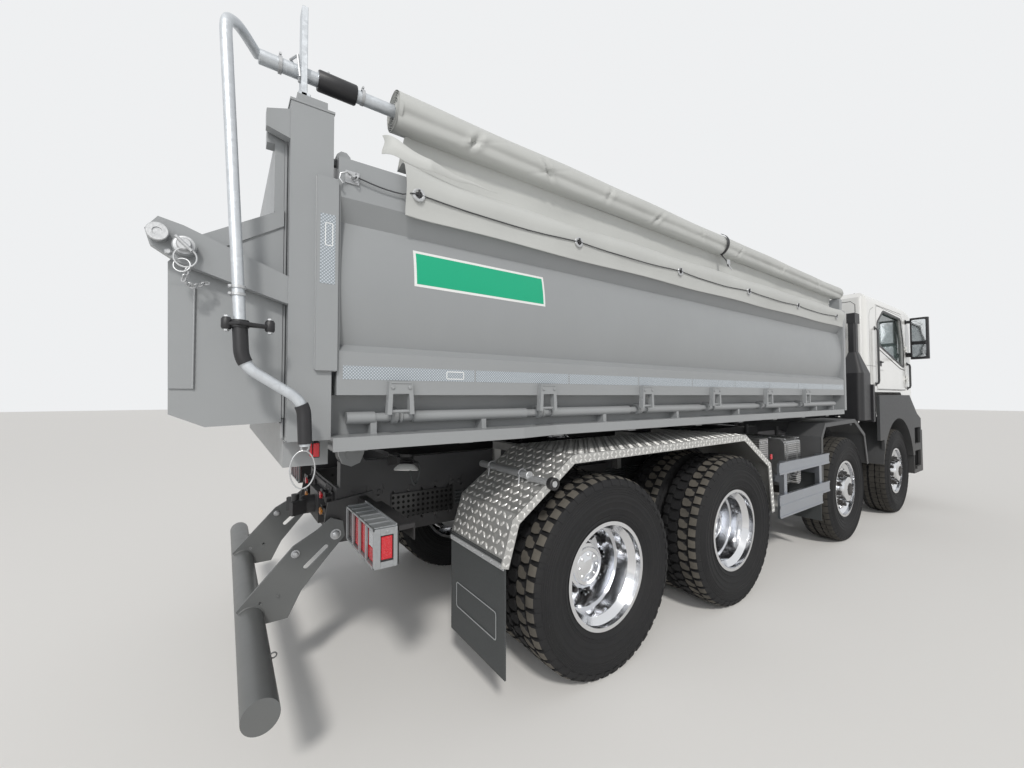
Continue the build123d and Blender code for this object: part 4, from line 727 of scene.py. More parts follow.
def shoulder_bar(build, center, angle, side, pitch):
    """Shoulder block that wraps from the tread's edge down onto the sidewall."""
    half = pitch * 0.36
    top, low = [], []
    for k, ((r, w), (ru, wu)) in enumerate(zip(SHOULDER_TOP, SHOULDER_FOOT)):
        narrow = half * (1.0 - 0.06 * k)
        for sign in (-1, 1):
            top.append(wrapped(center, angle, sign * narrow, r, side * w))
            low.append(wrapped(center, angle, sign * (narrow + 0.002), ru, side * wu))
    count = len(SHOULDER_TOP)
    faces = []
    shift = 2 * count
    for k in range(count - 1):
        a, b, c, d = 2 * k, 2 * k + 1, 2 * k + 3, 2 * k + 2
        faces.append((a, b, c, d))
        faces.append((a, d, d + shift, a + shift))
        faces.append((b, b + shift, c + shift, c))
    faces.append((0, shift, shift + 1, 1))
    last = 2 * count - 2
    faces.append((last, last + 1, last + 1 + shift, last + shift))
    build.add(top + low, faces)


def block_tread(build, center):
    """Drive-axle pattern: shoulder blocks with sipes and two staggered rows of notched centre blocks."""
    pitch = 2 * math.pi * TYRE_RADIUS / PITCHES
    for angle in turns(PITCHES):
        for side in (-1, 1):
            stagger = 0.0 if side == mirror["side"] else math.pi / PITCHES
            shoulder_bar(build, center, angle + stagger, side, pitch)
            step = angle + stagger + math.pi / PITCHES * 0.8
            lug(build, center, step, [(a, side * w) for a, w in CENTRE_BLOCK], crown=0.001)


def rib_tread(build, center):
    """Steering-axle pattern: zigzag ribs with cross sipes and closed shoulders."""
    pitch = 2 * math.pi * TYRE_RADIUS / PITCHES
    for angle in turns(PITCHES):
        for row, (inner, outer) in enumerate(((-0.028, 0.028), (0.042, 0.084), (-0.084, -0.042))):
            shift = 0.006 if row else -0.006
            lug(build, center, angle, [(-pitch * 0.49, inner), (-pitch * 0.49, outer), (0.0, outer + shift),
                                       (pitch * 0.47, outer), (pitch * 0.47, inner), (0.0, inner + shift)],
                taper=0.0012)
        for side in (-1, 1):
            shoulder_bar(build, center, angle, side, pitch * 1.32)


TREAD_START = 0.505


def finish_tyre(build, name, axle, body, *replaced):
    """Makes the tyre's mesh, with road dust on the faces of its tread only; the front axles get less, as
    painted shade.
    """
    tyre = build.piece(name, "tyre", body)
    tyre.data.materials.append(materials["shaded_front_tread" if axle > THIRD_AXLE else "tread_rear"])
    hub = at(axle, 0, WHEEL_Z)
    for face in tyre.data.polygons:
        reach = Vector((face.center.x - hub.x, 0, face.center.z - hub.z))
        if reach.length > TREAD_START and face.normal.dot(reach.normalized()) > 0.55:
            face.material_index = 1
    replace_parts(tyre, *replaced)


def build_tyres():
    """Single tyres on the steered axles and twin tyres on the driven ones, one mesh a side."""
    axles = (("first", FIRST_AXLE, (FRONT_TYRE_Y,), rib_tread, "tyre"),
             ("second", SECOND_AXLE, (FRONT_TYRE_Y,), rib_tread, "tyre"),
             ("third", THIRD_AXLE, (OUTER_TYRE_Y, INNER_TYRE_Y), block_tread, "tyres"),
             ("fourth", FOURTH_AXLE, (OUTER_TYRE_Y, INNER_TYRE_Y), block_tread, "tyres"))
    for axle_name, axle, distances, tread, word in axles:
        for side_name, _ in sides():
            build = Build()
            for y in distances:
                center = spot((axle, y, WHEEL_Z))
                carcass(build, center)
                tread(build, center)
            wheel = f"{axle_name}_{side_name}"
            finish_tyre(build, f"road_{word}_{wheel}", axle, f"wheel_{wheel}", f"{word}_{wheel}")


# Wheel nuts, hub caps and valves

BOLT_CIRCLE = 167.5
NUTS, NUT_TURN = 10, 0.2
CAP_BOLTS = 8
NUT = [(0.0235, 0), (0.0235, 0.005), (0.019, 0.009), (0.0185, 0.034), (0.015, 0.041), (0, 0.042)]
NUT_WASHER = [(0.026, 0), (0.0255, 0.0045), (0.019, 0.0065)]
DRIVEN_HUB_COLLAR = [(0.1105, -0.085), (0.1105, -0.002), (0.106, 0.002), (0.086, 0.003)]


def bolt_places(axle, radius, face_y, count, start=0.0):
    """Points of a bolt circle on a wheel's face."""
    return [spot((axle + radius * math.cos(a + start), face_y, WHEEL_Z + radius * math.sin(a + start)))
            for a in turns(count)]


def build_wheel_fittings():
    """Wheel nuts with washers, and hub caps with a collar on the driven axles."""
    wheels = [("first", FIRST_AXLE, FRONT_TYRE_Y + 92, FRONT_TYRE_Y + 162, 0.066, "axle"),
              ("second", SECOND_AXLE, FRONT_TYRE_Y + 92, FRONT_TYRE_Y + 162, 0.066, "axle"),
              ("third", THIRD_AXLE, 941.0, 1059.0, 0.088, "polished"),
              ("fourth", FOURTH_AXLE, 941.0, 1059.0, 0.088, "polished")]
    for axle_name, axle, face_y, cap_y, hub, look in wheels:
        for side_name, side in sides():
            nuts, cap = Build(), Build()
            outward = (0, side, 0)
            wheel = f"{axle_name}_{side_name}"
            for place in bolt_places(axle, BOLT_CIRCLE, face_y, NUTS, NUT_TURN):
                nuts.revolve(place, outward, NUT, 6)
                nuts.revolve(place, outward, NUT_WASHER, 20)
            nuts.piece(f"wheel_nuts_{wheel}", "black_plastic", f"wheel_{wheel}")
            center = spot((axle, cap_y, WHEEL_Z))
            if look == "polished":
                cap.revolve(center, outward, DRIVEN_HUB_COLLAR, 40)
            dome = [(hub, -0.001), (hub, 0.004), (hub * 0.93, 0.0075), (hub * 0.6, 0.0085),
                    (hub * 0.56, 0.011), (hub * 0.2, 0.0125), (0, 0.0125)]
            cap.revolve(center, outward, dome, 40)
            for place in bolt_places(axle, hub * 780, cap_y + 7.5, CAP_BOLTS):
                cap.bolt(place, outward, 0.0075)
            cap.piece(f"hub_cap_{wheel}", look, f"wheel_{wheel}")


build_tyres()
build_wheel_fittings()


# Rolled tarpaulin and the curtain that hangs from it over the right board

ROLL_Y = -1170.0
ROLL_REAR, ROLL_FRONT = -1220.0, 3700.0
ROLL_REAR_Z, ROLL_FRONT_Z = 2741.0, 2667.0
ROLL_REAR_RADIUS, ROLL_FRONT_RADIUS = 84.0, 70.0
ROLL_STEPS, ROLL_TURNS = 300, 80
PUCKERS = [
    # station, turn in degrees, depth, lean
    (-868.0, -30.0, 17.0, 0.5), (-432.0, -22.0, 19.0, -0.6), (20.0, -12.0, 10.0, 0.3),
    (470.0, -30.0, 12.0, 0.8), (980.0, -10.0, 13.0, -0.4), (1520.0, -22.0, 11.0, 0.5),
    (2260.0, -10.0, 13.0, 0.2), (3010.0, -18.0, 9.0, -0.7)]


def roll_section(station):
    """Height and radius of the roll's middle line at a station."""
    share = (station - ROLL_REAR) / (ROLL_FRONT - ROLL_REAR)
    height = ROLL_REAR_Z + share * (ROLL_FRONT_Z - ROLL_REAR_Z)
    radius = ROLL_REAR_RADIUS + share * (ROLL_FRONT_RADIUS - ROLL_REAR_RADIUS)
    return height, radius


def bell(value, width):
    """Bell curve with a top of 1 at zero."""
    return math.exp(-(value / width) ** 2)


def roll_radius(station, turn):
    """Radius of the roll at a turn in degrees from straight out: lobed, creased and puckered."""
    _, radius = roll_section(station)
    lobes = 9.0 * bell(turn + 60, 18) - 7.0 * bell(turn + 27, 13) - 2.0 * bell(turn - 48, 12)
    slow = 2.2 * math.sin(station / 310.0 + turn / 40.0) + 1.4 * math.sin(station / 127.0 - turn / 25.0)
    ridges = 0.8 * math.sin(station / 38.0 + turn / 14.0) * bell(turn + 30, 60)
    total = radius - 4.0 + lobes + slow + ridges
    for place, aim, depth, lean in PUCKERS:
        ahead = station - place - lean * (turn - aim) * 1.5
        window = bell(turn - aim, 34)
        total -= depth * bell(ahead, 13) * window
        total += depth * 0.55 * (bell(ahead - 30, 15) + bell(ahead + 27, 12)) * window
        total -= depth * 0.25 * bell(station - place - 3.5 * (turn - aim), 9) * bell(turn - aim, 48)
    return min(total, radius + 6.0)


def build_tarp_roll():
    """Wound tarpaulin on its tube, with puckers and the wound layers at both ends."""
    build = Build()
    rings = []
    for i in range(ROLL_STEPS + 1):
        station = ROLL_REAR + (ROLL_FRONT - ROLL_REAR) * i / ROLL_STEPS
        height, radius = roll_section(station)
        ring = []
        for k in range(ROLL_TURNS):
            degrees = -180.0 + 360.0 * k / ROLL_TURNS
            turn = math.radians(degrees)
            reach = roll_radius(station, degrees)
            ring.append(at(station, ROLL_Y - reach * math.cos(turn), height + reach * math.sin(turn)))
        rings.append(ring)
    build.add(flat(rings), wall(len(rings), ROLL_TURNS))
    for station, inward in ((ROLL_REAR, 1), (ROLL_FRONT, -1)):
        height, radius = roll_section(station)
        center = at(station, ROLL_Y, height)
        build.revolve(center, (inward, 0, 0), [(radius * 0.001 * 0.94, 0.0), (radius * 0.001 * 0.93, 0.016),
                                               (0.026, 0.016)], 48)
        layers_of_roll(build, station, inward)
    roll = build.piece("tarp_bundle", "tarp", "bed", sharp_angle=50.0)
    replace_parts(roll, "tarp_roll")


def layers_of_roll(build, station, inward):
    """Wound layers that show at one end of the roll, as a spiral strip."""
    height, radius = roll_section(station)
    rounds, steps, thick = 6, 36, 1.6
    points = []
    for n in range(rounds * steps + 1):
        turn = 2 * math.pi * n / steps
        reach = 27.0 + (radius - 31.0) * n / (rounds * steps) + 0.8 * math.sin(turn * 1.7)
        jut = 3.0 * math.sin(turn * 0.9) + 2.0 * math.sin(turn * 2.3)
        rear = station - inward * (1.0 + jut * 0.5)
        front = station + inward * 16.0
        for r, x in ((reach, rear), (reach + thick, rear), (reach + thick, front), (reach, front)):
            points.append(at(x, ROLL_Y - r * math.cos(turn), height + r * math.sin(turn)))
    build.add(points, wall(rounds * steps + 1, 4) + [(0, 1, 2, 3)])


CURTAIN_REAR, CURTAIN_FRONT = -1200.0, 3552.0
CURTAIN_STEPS, CURTAIN_ROWS, MIDDLE_STEP = 260, 40, 130
CURTAIN_THICK = 0.0024
GROMMET_STATIONS = (-1150.0, -264.0, 636.0, 1536.0, 2436.0, 3336.0)
GROMMET_Z = 2362.0
EYELET = [(0.0155, 0.0), (0.0155, 0.003), (0.020, 0.0046), (0.026, 0.0034), (0.029, 0.0)]
ROPE_START, ROPE_DIP = -1392.0, 0.012


def smooth_line(points, share):
    """Point at a share of a Catmull-Rom line through points."""
    spans = len(points) - 1
    place = min(max(share, 0.0), 0.99999) * spans
    i = int(place)
    t = place - i
    p0 = Vector(points[max(i - 1, 0)])
    p1, p2 = Vector(points[i]), Vector(points[i + 1])
    p3 = Vector(points[min(i + 2, spans)])
    return (p1 * 2 + (p2 - p0) * t + (p0 * 2 - p1 * 5 + p2 * 4 - p3) * t * t
            + (p1 * 3 - p0 - p2 * 3 + p3) * t ** 3) * 0.5


def curtain_section(station):
    """Side distance and height of the curtain from the roll, over the rail and down to the hem."""
    height, radius = roll_section(station)
    leave_y = -ROLL_Y - radius * 0.12
    leave_z = height - radius * 0.95
    sag = 4.0 * math.sin(station / 205.0) + 3.0 * math.sin(station / 83.0 + 1.0)
    bulge = 5.0 + 5.0 * math.sin(station / 260.0 + 0.6) + 2.0 * math.sin(station / 71.0)
    hem = 3.0 * math.sin(station / 170.0)
    lift = 34.0 * bell(station - CURTAIN_REAR, 190.0) + 4.0 * math.sin(station / 140.0)
    drop = leave_z - 2470.0
    return [(leave_y, leave_z), (leave_y - 10.0, leave_z - drop * 0.3),
            (leave_y - 12.0 + sag, leave_z - drop * 0.6), (1158.0 + sag, 2492.0 + lift * 0.3),
            (1192.0 + sag, 2470.0 + lift * 0.8), (1232.0 + sag * 0.5, 2466.0 + lift),
            (1264.0 + bulge * 0.6, 2440.0 + lift * 0.8),
            (1276.0 + bulge, 2402.0 + lift * 0.3), (1270.0 + bulge, 2360.0), (1264.0 + bulge * 0.4, 2316.0),
            (1262.0 + hem, 2272.0 + hem * 0.6)]


def curtain_point(station, share):
    """Point of the curtain at a share of its line, curled at its rear end."""
    place = smooth_line([(0.0, y, z) for y, z in curtain_section(station)], share)
    ahead = max(0.0, 1.0 - (station - CURTAIN_REAR) / 120.0)
    curl = ahead ** 2 * (12.0 * bell(share - 0.6, 0.1) + 9.0 * share ** 6)
    reach = ahead * (36.0 * min(share / 0.35, 1.0) - 34.0 + 8.0 * bell(share - 0.62, 0.1))
    return at(station - reach, -(place.y + curl), place.z + curl * 0.2)


FOLD_HEIGHTS = (2615, 2560, 2521, 2500, 2490, 2484)


def fold_point(along, down):
    """Point on the loose fold at the roll's rear end, which tapers forwards to a tip."""
    station = -1268.0 + 500.0 * along
    top = smooth_line([(0, 0, z) for z in FOLD_HEIGHTS], along).z
    deep = 82.0 * (1.0 - along) ** 1.5 + 2.0
    curl = math.exp(-along / 0.035)
    reach = 1212.0 + 58.0 * min(along / 0.35, 1.0) + 8.0 * math.sin(math.pi * down) * (1.0 - along)
    out = reach - 30.0 * curl * (1.0 - down * 0.4)
    height = top - deep * down + 2.0 * math.sin(along * 19.0)
    return at(station + 6.0 * math.sin(5.0 * down) * curl, -out, height)


def build_loose_fold():
    """Loose fold of cloth at the roll's rear end."""
    rows = [[fold_point(k / 60, i / 12) for k in range(61)] for i in range(13)]
    return piece("tarp_fold", *cloth_grid(rows, CURTAIN_THICK), "tarp", "bed", sharp_angle=60.0)


def cloth_grid(rows, thickness):
    """Vertices and faces of a closed cloth shell over a grid of points, offset to its outer side."""
    high, wide = len(rows), len(rows[0])
    outer, inner = [], []
    for i in range(high):
        for k in range(wide):
            along = rows[i][min(k + 1, wide - 1)] - rows[i][max(k - 1, 0)]
            down = rows[min(i + 1, high - 1)][k] - rows[max(i - 1, 0)][k]
            normal = down.cross(along)
            normal = normal.normalized() if normal.length > 0 else Vector((0, -1, 0))
            outer.append(rows[i][k] + normal * thickness / 2)
            inner.append(rows[i][k] - normal * thickness / 2)
    faces = []
    shift = high * wide
    for i in range(high - 1):
        for k in range(wide - 1):
            a, b, c, d = i * wide + k, i * wide + k + 1, (i + 1) * wide + k + 1, (i + 1) * wide + k
            faces.append((a, d, c, b))
            faces.append((a + shift, b + shift, c + shift, d + shift))
    rim = list(range(wide)) + [i * wide + wide - 1 for i in range(1, high)]
    rim += [(high - 1) * wide + k for k in range(wide - 2, -1, -1)]
    rim += [i * wide for i in range(high - 2, 0, -1)]
    for a, b in zip(rim, rim[1:] + rim[:1]):
        faces.append((a, b, b + shift, a + shift))
    return outer + inner, faces


def curtain_row(share, out=0.0):
    """Points along the curtain at a share of its line, moved out by a distance."""
    length = CURTAIN_FRONT - CURTAIN_REAR
    return [curtain_point(CURTAIN_REAR + length * k / CURTAIN_STEPS, share) + Vector((0, -out, 0))
            for k in range(CURTAIN_STEPS + 1)]


def build_tarp_curtain():
    """Cloth from the roll over the rail of the right board, with its hem, eyelets and loose fold."""
    rows = [curtain_row(i / CURTAIN_ROWS) for i in range(CURTAIN_ROWS + 1)]
    curtain = piece("tarp_curtain", *cloth_grid(rows, CURTAIN_THICK), "tarp", None, sharp_angle=60.0)
    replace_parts(curtain, "tarp_flap")
    hem_rows = [curtain_row(0.945 + 0.05 * i / 4, 0.0026) for i in range(5)]
    hem = piece("curtain_hem", *cloth_grid(hem_rows, 0.0014), "tarp", "side_board_right", sharp_angle=60.0)
    grommets = curtain_grommets()
    fold = build_loose_fold()
    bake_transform(curtain)


def ring(build, center, axis, radius, wire, count=28, section=10):
    """Closed ring of round wire."""
    profile = [(radius + wire * math.cos(a), wire * math.sin(a)) for a in turns(section)]
    build.revolve(center, axis, profile, count, closed=True)


def share_at_height(station, height, steps, low, high):
    """Share of the curtain's line, in steps between low and high, that lies nearest to a height."""
    return min((abs(curtain_point(station, s / steps).z - height), s / steps) for s in range(low, high))[1]


def grommet_share(station):
    """Share of the curtain's line at which an eyelet sits."""
    return share_at_height(station, GROMMET_Z * MM, 200, 120, 200)


def curtain_grommets():
    """Eyelets along the curtain. Returns the black discs in their holes, painted shade, with the rope's ends.
    """
    build, hole = Build(), Build()
    for station in GROMMET_STATIONS:
        center = curtain_point(station, grommet_share(station)) + Vector((0, -0.0022, 0))
        build.revolve(center, (0, -1, 0), EYELET, 32, closed=True)
        # Black disc in each eyelet's hole: painted shade in the hole.
        hole.rod(center, center + Vector((0, -0.0012, 0)), 0.0157, 24)
        hole.rod(center + Vector((0, 0, -0.018)), center + Vector((0, -0.007, 0.018)), 0.004, 10)
    build.piece("curtain_eyelets", "zinc", "side_board_right")
    return hole.piece("eyelet_holes", "black_plastic", "side_board_right")


def build_curtain_rope():
    """Wire rope along the curtain through its rings, tied back to a hook on the board's rail."""
    build, hook = Build(), Build()
    start = at(ROPE_START, -1262, 2372)
    points = [start]
    previous = (ROPE_START, start.z)
    for station in GROMMET_STATIONS:
        place = curtain_point(station, grommet_share(station))
        for step in range(1, 9):
            t = step / 8
            x = previous[0] + (station - previous[0]) * t
            z = previous[1] + (place.z - previous[1]) * t - ROPE_DIP * math.sin(math.pi * t)
            y = -1.264
            if x > CURTAIN_REAR:
                y = curtain_point(x, share_at_height(x, z, 60, 36, 60)).y - 0.0055
            points.append(Vector((at(x, 0, 0).x, y, z)))
        previous = (station, place.z)
    build.tube(points, 0.0028, 8)
    build.piece("curtain_rope", "dark_plastic", "side_board_right")
    hook.box((-1425, -1250, 2345), (-1375, -1256, 2392), 0.001)
    hook.bolt((-1412, -1256, 2381), (0, -1, 0), 0.006)
    hook.bolt((-1388, -1256, 2354), (0, -1, 0), 0.006)
    hook.rod((-1400, -1254, 2368), (-1400, -1276, 2368), 0.007, 14)
    hook.tube([(-1400, -1272, 2368), (-1424, -1276, 2374), (-1446, -1276, 2362), (-1450, -1276, 2342),
               (-1438, -1276, 2328)], 0.004, 10)
    ring(hook, (-1392, -1270, 2366), (1, 0.4, 0), 0.013, 0.0022)
    hook.piece("rope_hook", "zinc", "side_board_right")


STRAP_STATION, STRAP_HALF = 1300.0, 14
STRAP_FACES = [(0, 1, 2, 3), (7, 6, 5, 4), (0, 4, 5, 1), (1, 5, 6, 2), (2, 6, 7, 3), (3, 7, 4, 0)]


def build_tie_strap():
    """Strap with a hook that ties the roll down to the curtain."""
    build = Build()
    station = STRAP_STATION
    height, radius = roll_section(station)
    points = [(-(-ROLL_Y + (radius + 4) * math.cos(math.radians(a))),
               height + (radius + 4) * math.sin(math.radians(a))) for a in range(70, -75, -12)]
    points += [(-1236.0, 2560.0), (-1246.0, 2520.0)]
    for (y0, z0), (y1, z1) in zip(points, points[1:]):
        rear, front = station - STRAP_HALF, station + STRAP_HALF
        low = [at(rear, y0, z0), at(front, y0, z0), at(front, y1, z1), at(rear, y1, z1)]
        out = Vector((0, z1 - z0, y0 - y1)).normalized() * 0.002
        high = [v + out for v in low]
        build.add(low + high, STRAP_FACES)
    build.piece("tie_strap", "black_plastic", "bed", smooth=False)
    hook = Build()
    hook.box((station - 18, -1241, 2535), (station + 18, -1251, 2572))
    hook.tube([(station, -1248, 2536), (station, -1254, 2518), (station + 8, -1262, 2504),
               (station + 2, -1266, 2490)], 0.0035, 10)
    hook.piece("tie_hook", "zinc", "bed")


# Tread plate: raised bars on the rear mudguards

FENDER_LINE = [(-700, 790), (-633, 993), (-271, 1247), (1506, 1254), (1912, 1000), (1966, 600)]
FENDER_LIP = [(-716, 765), (-652, 968), (-285, 1225), (1496, 1232), (1890, 990), (1944, 600)]
FENDER_IN, FENDER_OUT = 685.0, 1250.0
BAR_PITCH = 41.0
LIP_PITCH, LIP_ROW = 0.034, 0.0105


def tread_bar(build, center, along, across, normal, length=0.038, width=0.0165, rise=0.0034):
    """Lens-shaped raised bar of a tread plate."""
    points = []
    outline = ((-0.5, 0.0), (-0.25, 0.85), (0.25, 0.85), (0.5, 0.0), (0.25, -0.85), (-0.25, -0.85))
    for share, height in ((1.0, 0.0), (0.72, rise)):
        for ahead, spread in outline:
            points.append(center + along * (length * ahead * share) + across * (width * 0.5 * spread * share)
                          + normal * height)
    faces = [(6, 7, 8, 9, 10, 11)] + [(n, (n + 1) % 6, 6 + (n + 1) % 6, 6 + n) for n in range(6)]
    build.add(points, faces)


def tread_field(build, start, ahead, aside, normal, length, width):
    """Fills a flat rectangle with bars in alternating directions."""
    rows = int(width / (BAR_PITCH * MM))
    columns = int(length / (BAR_PITCH * MM))
    for i in range(columns):
        for k in range(rows):
            center = start + ahead * ((i + 0.5) * length / columns) + aside * ((k + 0.5) * width / rows)
            lean = 1 if (i + k) % 2 else -1
            along = (ahead + aside * lean).normalized()
            tread_bar(build, center, along, normal.cross(along), normal)


def fender_spans(line, side, y):
    """Start, end and direction of each flat of a mudguard's line, with the normal beside it."""
    for (x0, z0), (x1, z1) in zip(line, line[1:]):
        start, end = at(x0, side * y, z0), at(x1, side * y, z1)
        ahead = (end - start).normalized()
        yield start, end, ahead, Vector((-ahead.z, 0, ahead.x))


def tread_lip(build, start, end, ahead, inside, out):
    """Two rows of small bars along one flat of a mudguard's lip."""
    steps = int((end - start).length / LIP_PITCH)
    for i in range(steps):
        for row in (-LIP_ROW, LIP_ROW):
            center = start + ahead * ((i + 0.5) * (end - start).length / steps) + inside * row
            lean = 1 if (i + (row > 0)) % 2 else -1
            along = (ahead + inside * lean).normalized()
            tread_bar(build, center, along, out.cross(along), out, 0.026, 0.012, 0.0026)


def build_tread_plate():
    """Raised bars on the top and the lip of the rear mudguards."""
    for side_name, side in sides():
        build = Build()
        out = Vector((0, side, 0))
        for start, end, ahead, normal in fender_spans(FENDER_LINE, side, FENDER_IN + 4):
            tread_field(build, start + normal * 0.003, ahead, out, normal, (end - start).length,
                        (FENDER_OUT - FENDER_IN - 8) * MM)
        for start, end, ahead, inside in fender_spans(FENDER_LIP, side, FENDER_OUT):
            tread_lip(build, start, end, ahead, inside, out)
        build.piece(f"tread_bars_{side_name}", "tread_bar", "chassis", smooth=False)


# The stay lies 30 mm above the mudguard's second flat, between stations -633 and -271
STAY_X, STAY_Z = -478, 993 + (1247 - 993) * (633 - 470) / (633 - 271) + 30


def build_fender_fittings():
    """Clamping strip with rivets above each mud flap, and the round stays with their clamps."""
    build = Build()
    for _ in sides():
        build.box((-718, 702, 752), (-711, 1238, 778), 0.001)
        build.bolts((-1, 0, 0), 0.006, *((-718, y, 765) for y in range(730, 1211, 80)))
        build.rod((STAY_X, 640, STAY_Z + 6), (STAY_X, 1110, STAY_Z + 6), 0.019, 24)
        build.rod((STAY_X, 1110, STAY_Z + 6), (STAY_X, 1128, STAY_Z + 6), 0.0235, 24)
        build.rod((-480, 1180, 1135), (-480, 1328, 1135), 0.0168, 24)
        build.rod((-480, 1120, 1128), (-480, 1190, 1135), 0.0150, 24)
        for y in (1060, 760):
            for shift in (-1, 1):
                build.rod((STAY_X + shift * 24, y, STAY_Z - 30 + shift * 16),
                          (STAY_X + shift * 18, y, STAY_Z + 14 + shift * 10), 0.005, 12)
            build.tube([(STAY_X + 25 * math.cos(a), y, STAY_Z + 8 + 25 * math.sin(a))
                        for a in (math.pi * k / 10 for k in range(11))], 0.005, 10)
            build.box((-508, y - 14, STAY_Z - 6), (-446, y + 14, STAY_Z), 0.001)
    build.piece("fender_fittings", "zinc", "chassis")


# Body hardware: clamps, pins, tapes and the crank's fittings

BOARD_TAPE_REAR, BOARD_TAPE_FRONT = -1430.0, 3585.0
BOARD_TAPES, TAPE_GAP = 9, 4.0
CLAMP_STATIONS = (-1217.0, -476.0, 295.0, 1056.0, 1853.0, 2600.0)
LOCK_RING = [(0.020, 0), (0.030, 0), (0.034, 0.005), (0.034, 0.023), (0.030, 0.028), (0.020, 0.028)]


def build_clamp_details():
    """Bolts and pins of the boards' clamps, and the rings on the lock shafts."""
    for side_name, side in sides():
        board, shaft = Build(), Build()
        for x in CLAMP_STATIONS:
            for end in (-1, 1):
                board.bolt((x + end * 34, 1280, 1590), (0, side, 0), 0.0075)
                board.rod((x + end * 52, 1266, 1530), (x + end * 42, 1266, 1530), 0.009, 16)
            board.box((x - 40, 1280, 1604), (x + 40, 1283, 1611), 0.001)
            board.rod((x - 44, 1262, 1497), (x + 44, 1262, 1497), 0.0065, 16)
            shaft.revolve((x - 14, 1190, 1478), (1, 0, 0), LOCK_RING, 32)
            shaft.rod((x + 22, 1190, 1472), (x + 34, 1190, 1472), 0.026, 24)
            shaft.bolt((x, 1222, 1478), (0, side, 0), 0.006)
        board.piece(f"clamp_hardware_{side_name}", "body", f"side_board_{side_name}")
        shaft.piece(f"lock_rings_{side_name}", "body", "bed")


def label_frame(name, low, high, y, width, body):
    """Thin bare frame of a label on a tape, between two corners of station and height."""
    build = Build()
    corners = (low, (high[0], low[1]), high, (low[0], high[1]))
    loop = [spot((x, y, z)) for x, z in rounded_loop(corners, 4, 3)]
    strip(build, loop, (0, mirror["side"], 0), width, 0.0003, closed=True)
    build.piece(name, "white_shell", body, smooth=False)


def build_tapes():
    """Reflective tape along each board and up each rear post, with bare label frames."""
    tape_length = (BOARD_TAPE_FRONT - BOARD_TAPE_REAR) / BOARD_TAPES
    for side_name, _ in sides():
        board, post = Build(), Build()
        board_body = f"side_board_{side_name}"
        for n in range(BOARD_TAPES):
            start = BOARD_TAPE_REAR + tape_length * n
            board.box((start + TAPE_GAP, 1250, 1618), (start + tape_length - TAPE_GAP, 1250.8, 1668), 0)
        board.piece(f"board_tape_{side_name}", "tape", board_body, smooth=False)
        label_frame(f"tape_frame_{side_name}", (-1010, 1628), (-930, 1658), 1250.9, 0.0035, board_body)
        label_frame(f"post_tape_frame_{side_name}", (-1493, 2094), (-1469, 2174), 1266.9, 0.0028, "bed")
        post.box((-1510, 1266, 1956), (-1460, 1266.8, 2206), 0)
        post.piece(f"post_tape_{side_name}", "tape", "bed", smooth=False)


CHAIN_LINK, CHAIN_WIRE = 0.016, 0.0022


def chain(build, points):
    """Chain of round links along points, each turned a quarter against the last."""
    lengths = [0.0]
    for a, b in zip(points, points[1:]):
        lengths.append(lengths[-1] + (b - a).length)
    count = max(2, int(lengths[-1] / (CHAIN_LINK * 0.62)))
    for n in range(count + 1):
        target = lengths[-1] * n / count
        i = max(k for k in range(len(lengths)) if lengths[k] <= target + 1e-9)
        i = min(i, len(points) - 2)
        share = (target - lengths[i]) / max(lengths[i + 1] - lengths[i], 1e-9)
        center = points[i].lerp(points[i + 1], share)
        ahead = (points[i + 1] - points[i]).normalized()
        side = ahead.orthogonal().normalized()
        turned = side if n % 2 else ahead.cross(side)
        ring(build, center, turned, CHAIN_LINK * 0.42, CHAIN_WIRE, 14, 6)


BELLY_RADIUS = 765.6
BELLY_MIDDLE = (472.4, 1982.0)
PANEL_REAR, PANEL_FRONT = -1150, -462
PANEL_LOW, PANEL_TALL, PANEL_STEPS = 2004.0, 153.0, 12


def build_side_panel():
    """Bare green panel with a white edge on the right board's curved sheet."""
    layers = (("panel_edge", "white_shell", 0.0, 0.5), ("panel_field", "green", 11.0, 1.0))
    for name, look, grow, lift in layers:
        rows = []
        for i in range(PANEL_STEPS + 1):
            z = PANEL_LOW + grow + (PANEL_TALL - 2 * grow) * (1 - i / PANEL_STEPS)
            y = BELLY_MIDDLE[0] + math.sqrt(BELLY_RADIUS ** 2 - (z - BELLY_MIDDLE[1]) ** 2) + lift
            rows.append([at(x, -y, z) for x in (PANEL_REAR + grow, PANEL_FRONT - grow)])
        piece(name, *cloth_grid(rows, 0.0006), look, "side_board_right")


PIN_HEAD = [(0.027, 0), (0.027, 0.005), (0.025, 0.007), (0.012, 0.007), (0.011, 0.004), (0, 0.004)]
LYNCH_HEAD = [(0.027, 0), (0.027, 0.003), (0.019, 0.004), (0.019, 0.014), (0.016, 0.018), (0, 0.018)]


def build_pin_hardware():
    """Pins in the tailgate's side arms with their heads, spring rings and chains."""
    for side_name, side in sides():
        pin = Build()
        out = (0, side, 0)
        pin.revolve((-1948, 1266, 2038), out, PIN_HEAD, 32)
        lynch = spot((-1885, 1274, 2008))

        def beside(x, y, z):
            return lynch + Vector((x, side * y, z))

        pin.revolve(lynch, out, LYNCH_HEAD, 28)
        pin.rod(beside(-0.02, 0.02, 0.02), beside(0.02, 0.02, -0.02), 0.005, 12)
        ring(pin, beside(0.004, 0.014, -0.040), (0.15, 1, 0.1), 0.028, 0.0028)
        ring(pin, beside(-0.004, 0.006, -0.062), (0.3, 1, -0.2), 0.021, 0.0024)
        chain(pin, [beside(0.01, 0.010, -0.075), beside(0.0, 0.002, -0.105), beside(0.02, -0.012, -0.12),
                    beside(0.055, -0.028, -0.10)])
        pin.bolt((-1925, 1244, 1990), out, 0.008)
        pin.piece(f"pin_hardware_{side_name}", "zinc", "bed")


BEAD_RADIUS, BEAD_STEP = 0.003, 0.008


